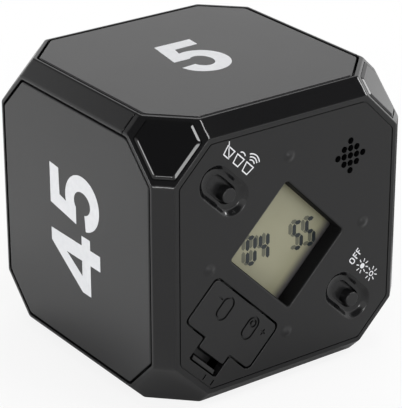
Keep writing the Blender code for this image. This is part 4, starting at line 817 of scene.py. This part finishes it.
# Number plates: five eight-sided plates of black ABS, pushed into their beds on two pegs. The figures
# are white ink, printed on.

PLATE_THICKNESS = 1.6
PLATE_EDGE = 0.32
FIGURE_HEIGHT = 19.2
INK = 0.03

# Moulded ABS of the plates: black with a finer grain, so broad faces shine evenly.
plate_abs, tree, shader, where = new_finish("moulded_abs_fine_grain", "#1c1c1d", {"IOR": 1.55})
grain = add(tree, "TexNoise", {"Vector": where, "Scale": 1 / 0.00025, "Detail": 2})
cloud = add(tree, "TexNoise", {"Vector": where, "Scale": 1 / 0.014, "Detail": 4})
dull = add(tree, "MapRange", {"Value": cloud, "To Min": 0.21, "To Max": 0.28})
bump = add(tree, "Bump", {"Height": grain, "Strength": 0.12, "Distance": 0.00001})
settle(tree, shader, {"Roughness": dull.outputs[0], "Normal": bump})

# Pad-printed ink: dense white with a slight sheen, a little uneven from the pad.
ink, tree, shader, where = new_finish("pad_printed_white_ink", "#e8e9ea", {"Roughness": 0.45, "IOR": 1.5})
uneven = add(tree, "TexNoise", {"Vector": where, "Scale": 1 / 0.0012, "Detail": 4})
tint = add(tree, "ValToRGB", {"Fac": uneven})
low, high = tint.color_ramp.elements
low.color, high.color = linear("#d8d9dc"), linear("#e6e7e9")
settle(tree, shader, {"Base Color": tint})

# Outlines of the figures, y down, in shares of their height. Bowls are elliptic arcs.
five = np.concatenate([
    [(0.118, 0), (0.608, 0), (0.590, 0.179), (0.270, 0.191)],
    arc((0.319, 0.657), (0.326, 0.343), -105, 169, 40),
    arc((0.319, 0.657), (0.135, 0.165), 164, -128, 30),
    [(0.0245, 0.527)],
])
four = [np.array([(0.425, 0), (0.58, 0), (0.58, 0.63), (0.70, 0.63), (0.70, 0.80), (0.58, 0.80), (0.58, 1),
                  (0.3925, 1), (0.3925, 0.80), (0, 0.80), (0, 0.63)]),
        np.array([(0.3925, 0.3125), (0.3925, 0.63), (0.20, 0.63)])]
one_outline = np.array([(0.17, 0), (0.36, 0), (0.36, 1), (0.17, 1), (0.17, 0.20), (0, 0.245), (0, 0.075)])
three = np.concatenate([
    arc((0.30, 0.29), (0.295, 0.29), 196, 388, 36), arc((0.31, 0.68), (0.325, 0.32), -38, 162, 36),
    arc((0.31, 0.68), (0.135, 0.155), 156, -74, 26), [(0.245, 0.535), (0.245, 0.40)],
    arc((0.30, 0.285), (0.115, 0.125), 62, -164, 26),
])
zero = [oval((0.34, 0.5), (0.34, 0.5), 72), oval((0.34, 0.5), (0.155, 0.325), 60)]
six = [np.concatenate([[(0.36, 0), (0.575, 0)], arc((0.33, 0.66), (0.33, 0.34), -72, 208, 56)]),
       oval((0.33, 0.66), (0.142, 0.155), 48)]
FIGURES = {"0": (zero, 0.68), "1": ([one_outline], 0.36), "3": ([three], 0.64), "4": (four, 0.70),
           "5": ([five], 0.645), "6": (six, 0.66)}
FIGURE_GAP = 0.08
NUMBERS = {"top": ("5", (-0.3, 0.9)), "left": ("45", (0, 0)), "right": ("15", (0, 0)),
           "bottom": ("30", (0, 0)), "back": ("60", (0, 0))}


def anticlockwise(loop):
    """The loop in anticlockwise order, from the sign of its area."""
    following = np.roll(loop, -1, 0)
    return loop if (loop[:, 0] * following[:, 1] - loop[:, 1] * following[:, 0]).sum() > 0 else loop[::-1]


def number_loops(text, centre):
    """The outlines of a number side by side, in millimetres, with the middle of the whole at a place."""
    widths = [FIGURES[figure][1] for figure in text]
    left, loops = -(sum(widths) + FIGURE_GAP * (len(text) - 1)) / 2, []
    for figure, width in zip(text, widths):
        for loop in FIGURES[figure][0]:
            loops.append(anticlockwise((loop * (1, -1) + (left, 0.5)) * FIGURE_HEIGHT + centre))
        left += width + FIGURE_GAP
    return loops


profile = [*edge_rows(PLATE_EDGE, -1), (0, PLATE_THICKNESS - 0.1), (-0.1, PLATE_THICKNESS)]
plate_rows = [ring(eight_sided(PLATE_HALF, PLATE_DIAGONAL, out), HALF - deep) for out, deep in profile]
for side, (text, centre) in NUMBERS.items():
    patches = capped(on_face(plate_rows, side))
    piece("number_plate_" + side, patches, plate_abs, "number_plate", "timer", "plate_" + side)
    piece("figures_" + side, film(number_loops(text, centre), -INK, INK, side), ink, "number_plate", "timer")


# Printed marks of the display face: small pictograms in the same white ink beside the switches, one
# for each place of the knobs, and the word for the lamp's first place.

LINE = 0.26
MARK_INK = 0.02
HORN_B = 6.65
SUN_B = 7.1
THIN_LINE = 0.22
LETTER_LINE = 0.34
OFF_PLACE = (18.8, 7.75)


def stroke(points, width=LINE):
    """The outline of an open line of a width: out along its left side and back along its right."""
    points = np.asarray(points, float)
    side = np.diff(points, axis=0)
    normal = np.stack([-side[:, 1], side[:, 0]], 1) / np.linalg.norm(side, axis=1, keepdims=True)
    before, after = np.concatenate([normal[:1], normal]), np.concatenate([normal, normal[-1:]])
    mitre = (before + after) / (1 + (before * after).sum(1, keepdims=True)) * width / 2
    return anticlockwise(np.concatenate([points + mitre, (points - mitre)[::-1]]))


def hoop(outline, width=LINE):
    """The two outlines of a closed line of a width."""
    outline = anticlockwise(np.asarray(outline, float))
    return [offset(outline, width / 2), offset(outline, -width / 2)]


def at(loops, place, scale=1.0):
    """Loops drawn about nought in a and b, scaled, moved to a place and turned to the face."""
    return [turned(loop * scale + place) for loop in loops]


horn = [(-0.8, -1.0), (0.8, -1.0), (1.2, 1.0), (-1.2, 1.0)]
marks = []
for count, along in ((0, -28.9), (1, -25.5), (3, -22.2)):
    place = (along, HORN_B)
    marks.append(at(hoop(horn), place))
    for i in range(count):
        marks.append(at([stroke(arc((0, 0.75), 1.25 + 0.66 * i, 48, 132, 14))], place))
    if count == 0:
        marks.append(at([stroke([(-1.6, 1.8), (1.05, -1.05)], THIN_LINE)], place))
for along, centre in ((22.3, [oval((0, 0), 0.62, 24)]), (26.0, hoop(oval((0, 0), 0.5, 24), 0.24))):
    place = (along, SUN_B)
    marks.append(at(centre, place))
    for i in range(8):
        turn = math.radians(45 * i + 22.5)
        way = np.array([math.cos(turn), math.sin(turn)])
        marks.append(at([stroke([way * 1.0, way * 1.75], THIN_LINE)], place))
word = [hoop(rounded(rectangle(1.15, 1.85), 0.55, 6), LETTER_LINE)]
for left in (1.35, 2.75):
    word.append([stroke([(left, -1.09), (left, 0.925), (left + 0.95, 0.925)], LETTER_LINE)])
    word.append([stroke([(left, 0.05), (left + 0.75, 0.05)], 0.30)])
for loops in word:
    upright = [np.stack([-loop[:, 1], loop[:, 0] - 1.6], 1) for loop in loops]
    marks.append(at(upright, OFF_PLACE, 0.82))
patches = []
for loops in marks:
    patches += film([anticlockwise(loop) for loop in loops], -MARK_INK, MARK_INK)
piece("switch_marks", patches, ink, "number_plate", "timer")


# Battery door: a plate with a tongue, hinged on two tabs beside the display, with a sprung latch that
# bends down from the tongue and up again in the finger slot. Its marks are engraved in the mould.

DOOR_THICKNESS = 2.0
LEAF_ROUNDS = (1.3, 0.4, 0.5)
near_b = low_b - TONGUE_LENGTH + DOOR_GAP
outline = tongued(side_a - DOOR_GAP, top_b - DOOR_GAP, low_b + DOOR_GAP,
                  notch_a - DOOR_GAP, near_b, LEAF_ROUNDS)
profile = [*edge_rows(0.18, -1), (0, DOOR_THICKNESS)]
door_loops = [offset(outline, profile[0][0])]
patches = [walls(outline, profile), flat([outline], DOOR_THICKNESS)]
MARK_PROFILE = [(0, 0), (-0.05, 0.3)]
GROOVE = [(0.27, 0), (0.24, 0), (0.17, 0.35), (-0.17, 0.35), (-0.24, 0), (-0.27, 0)]
cell = np.concatenate([arc((0, 1.1), 1.5, 0, 180, 14), arc((0, -1.1), 1.5, 180, 360, 14)])
for line in (cell + (-4.5, -18.8), cell + (4.8, -18.8), oval((4.8, -17.6), 0.72, 24)):
    line = anticlockwise(turned(line))
    patches.append(walls(line, GROOVE))
    door_loops += [offset(line, GROOVE[0][0]), offset(line, GROOVE[-1][0])]
arm = np.array([(0.17, 0.17), (0.17, 0.75), (-0.17, 0.75)])
plus = np.concatenate([arm, arm[:, ::-1] * (-1, 1), -arm, arm[:, ::-1] * (1, -1)])
for mark in (rectangle(1.5, 0.34) + (-7.2, -17.6), plus + (8.6, -17.8)):
    mark = anticlockwise(turned(mark))
    patches += [walls(mark, MARK_PROFILE), lid(mark, MARK_PROFILE[-1])]
    door_loops.append(mark)
patches.append(flat(door_loops, 0))

# The latch, as the side view of a strip carried across its width, and the two hinge tabs.
LATCH_WIDTH = 7.6
LATCH_TOP = 0.15
LATCH_SLOPE = 0.35
LATCH_DEPTH = 4.5
LATCH_ROOT = 1.0
LATCH_THICKNESS = 1.0
far_b = slot_b + 0.3
near_in, far_in, bend_top = near_b + LATCH_THICKNESS, far_b + LATCH_THICKNESS, LATCH_DEPTH - LATCH_THICKNESS
side_view = np.array([
    (near_in, LATCH_ROOT), (near_b, LATCH_ROOT), (near_b, bend_top), (far_in, bend_top),
    (far_in, LATCH_TOP + LATCH_SLOPE), (far_b, LATCH_TOP), (far_b, LATCH_DEPTH), (near_in, LATCH_DEPTH)])
side_view = rounded(side_view, [0.1, 0.1, 0.5, 0.5, 0.2, 0.15, 0.9, 0.9], 4)
rows = []
end = LATCH_WIDTH / 2
for along, shrink in ((-end, -0.1), (-end + 0.1, 0), (end - 0.1, 0), (end, -0.1)):
    b, deep = offset(anticlockwise(side_view), shrink).T
    rows.append(below(turned(np.stack([np.full(len(b), along), b], 1)), deep))
patches += capped(on_face(rows, "front"))
TAB = (4.0, 2.3)
TAB_PROFILE = [(-0.08, 2.3), (0, 2.38), (0, 3.32), (-0.08, 3.4)]
for along in (-5.5, 5.5):
    tab = turned(rounded(rectangle(*TAB, (along, top_b - 0.1)), 0.2, 3))
    patches += [walls(tab, TAB_PROFILE), lid(tab, TAB_PROFILE[0]), lid(tab, TAB_PROFILE[-1])]
piece("battery_door_leaf", patches, trim_abs, "satin_trim", "battery_door", "battery_door")


# The studio: a plain white table, an even pale surround that is darker overhead, soft lamps, and a
# camera with a long lens, as a product photograph has.

FLOOR_HALF = 3.0
FLOOR_TOP = -0.0001
floor_mesh = bpy.data.meshes.new("floor")
corners = [(x * FLOOR_HALF, y * FLOOR_HALF, FLOOR_TOP) for x, y in ((-1, -1), (1, -1), (1, 1), (-1, 1))]
floor_mesh.from_pydata(corners, [], [(0, 1, 2, 3)])
new_object("floor", floor_mesh)

# White table top: matt, and white to the camera apart from the soft shadow under the cube. To all other
# rays its colour carries painted shade, grey in front, dark in a patch behind the cube and darker still on
# the ground under it, for the black plastic to mirror. From below it can't be seen.
table, tree, shader, where = new_finish("white_table_laminate", "#f4f4f4", {"Roughness": 0.7})
ray = add(tree, "LightPath", {}).outputs["Is Camera Ray"]
place = add(tree, "SeparateXYZ", {"Vector": where})
# Painted shade, seen only in reflections: grey in front, a dark patch behind, and darker ground under the
# cube.
front = {"Value": place.outputs["Y"], "From Min": -0.05, "From Max": -0.01, "To Min": 0.58, "To Max": 1.0}
front = add(tree, "MapRange", front)
behind = add(tree, "VectorMath", {"operation": "DISTANCE", 0: where, 1: (0.075, 0.09, 0)})
shade_behind = {"Value": behind.outputs["Value"], "From Min": 0.085, "From Max": 0.12, "To Min": 0.05}
shade_behind = add(tree, "MapRange", shade_behind)
middle = add(tree, "VectorMath", {"operation": "LENGTH", 0: where})
shade_under = {"Value": middle.outputs["Value"], "From Min": 0.036, "From Max": 0.052, "To Min": 0.55}
shade_under = add(tree, "MapRange", shade_under)
tone = add(tree, "Math", {"operation": "MULTIPLY", 0: front.outputs[0], 1: shade_behind.outputs[0]})
tone = add(tree, "Math", {"operation": "MULTIPLY", 0: tone, 1: shade_under.outputs[0]})
tone = add(tree, "Mix", {"data_type": "FLOAT", 0: ray, 2: tone, 3: 0.95})
settle(tree, shader, {"Base Color": tone.outputs[0]})
paper = add(tree, "Emission", {"Color": (1, 1, 1, 1), "Strength": 1})
far = {"Value": middle.outputs["Value"], "From Min": 0.06, "From Max": 0.20, "To Min": 0.85, "To Max": 1.0}
far = add(tree, "MapRange", far)
share = add(tree, "Math", {"operation": "MULTIPLY", 0: ray, 1: far.outputs[0]})
both = add(tree, "MixShader", {0: share, 1: shader, 2: paper})
below = add(tree, "NewGeometry", {}).outputs["Backfacing"]
one_way = add(tree, "MixShader", {0: below, 1: both, 2: add(tree, "BsdfTransparent", {})})
settle(tree, tree.nodes["Material Output"], {"Surface": one_way})
floor_mesh.materials.append(table)

# Surround: pale to a little above the cube and dark overhead, and white all over to the camera.
world = bpy.data.worlds.new("studio")
bpy.context.scene.world = world
world.use_nodes = True
tree = world.node_tree
sky = tree.nodes["Background"]
way = add(tree, "SeparateXYZ", {"Vector": add(tree, "TexCoord", {}).outputs["Generated"]})
overhead = {"Value": way.outputs["Z"], "From Min": 0.39, "From Max": 0.61, "To Min": 0.88, "To Max": 0.08}
overhead = add(tree, "MapRange", overhead)
ray = add(tree, "LightPath", {}).outputs["Is Camera Ray"]
seen = add(tree, "Mix", {"data_type": "FLOAT", 0: ray, 2: overhead.outputs[0], 3: 1.0})
settle(tree, sky, {"Color": (1, 1, 1, 1), "Strength": seen.outputs[0]})


def soft_lamp(name, place, size, power, mirrored):
    """A square soft lamp that looks at the cube; only a mirrored one shows in glossy surfaces."""
    data = bpy.data.lights.new(name, "AREA")
    data.size = size
    data.energy = power
    lamp = new_object(name, data)
    lamp.location = place
    lamp.rotation_euler = (Vector(place) - Vector((0, 0, 0.035))).to_track_quat("Z", "Y").to_euler()
    lamp.visible_glossy = mirrored


# Three wide lamps light the cube. The small ones are its highlights, on the edges that face them.
for lamp in (
        ("lamp_above", (0.05, 0.10, 0.80), 0.9, 2.0, False),
        ("lamp_left", (-0.80, -0.15, 0.35), 0.7, 2.0, False),
        ("lamp_front", (0.10, -0.85, 0.35), 0.7, 2.0, False),
        ("highlight_back", (0.33, 0.42, 0.61), 0.24, 0.5, True),
        ("card_right", (0.46, 0.163, 0.034), 0.06, 0.0075, True),
        ("highlight_right", (0.20, -0.38, 0.70), 0.16, 0.9, True),
        ("highlight_far_right", (0.67, -0.16, 0.43), 0.20, 1.2, True),
        ("highlight_front", (-0.12, -0.77, 0.25), 0.16, 0.6, True),
        ("highlight_left", (-0.63, -0.46, 0.14), 0.16, 0.6, True),
        ("highlight_far_left", (-0.76, 0.03, 0.28), 0.14, 0.5, True)):
    soft_lamp(*lamp)

# Camera: a long lens, at the place and turn that the cube's edges in the photograph give.
camera_data = bpy.data.cameras.new("camera")
camera_data.lens = 186.0
camera_data.sensor_width = 36
camera_data.clip_start = 0.01
camera = new_object("camera", camera_data)
camera.location = (-0.250289, -0.347996, 0.223465)
camera.rotation_euler = (1.147413, 0.001278, -0.625204)
bpy.context.scene.camera = camera
bpy.context.scene.view_settings.view_transform = "Standard"
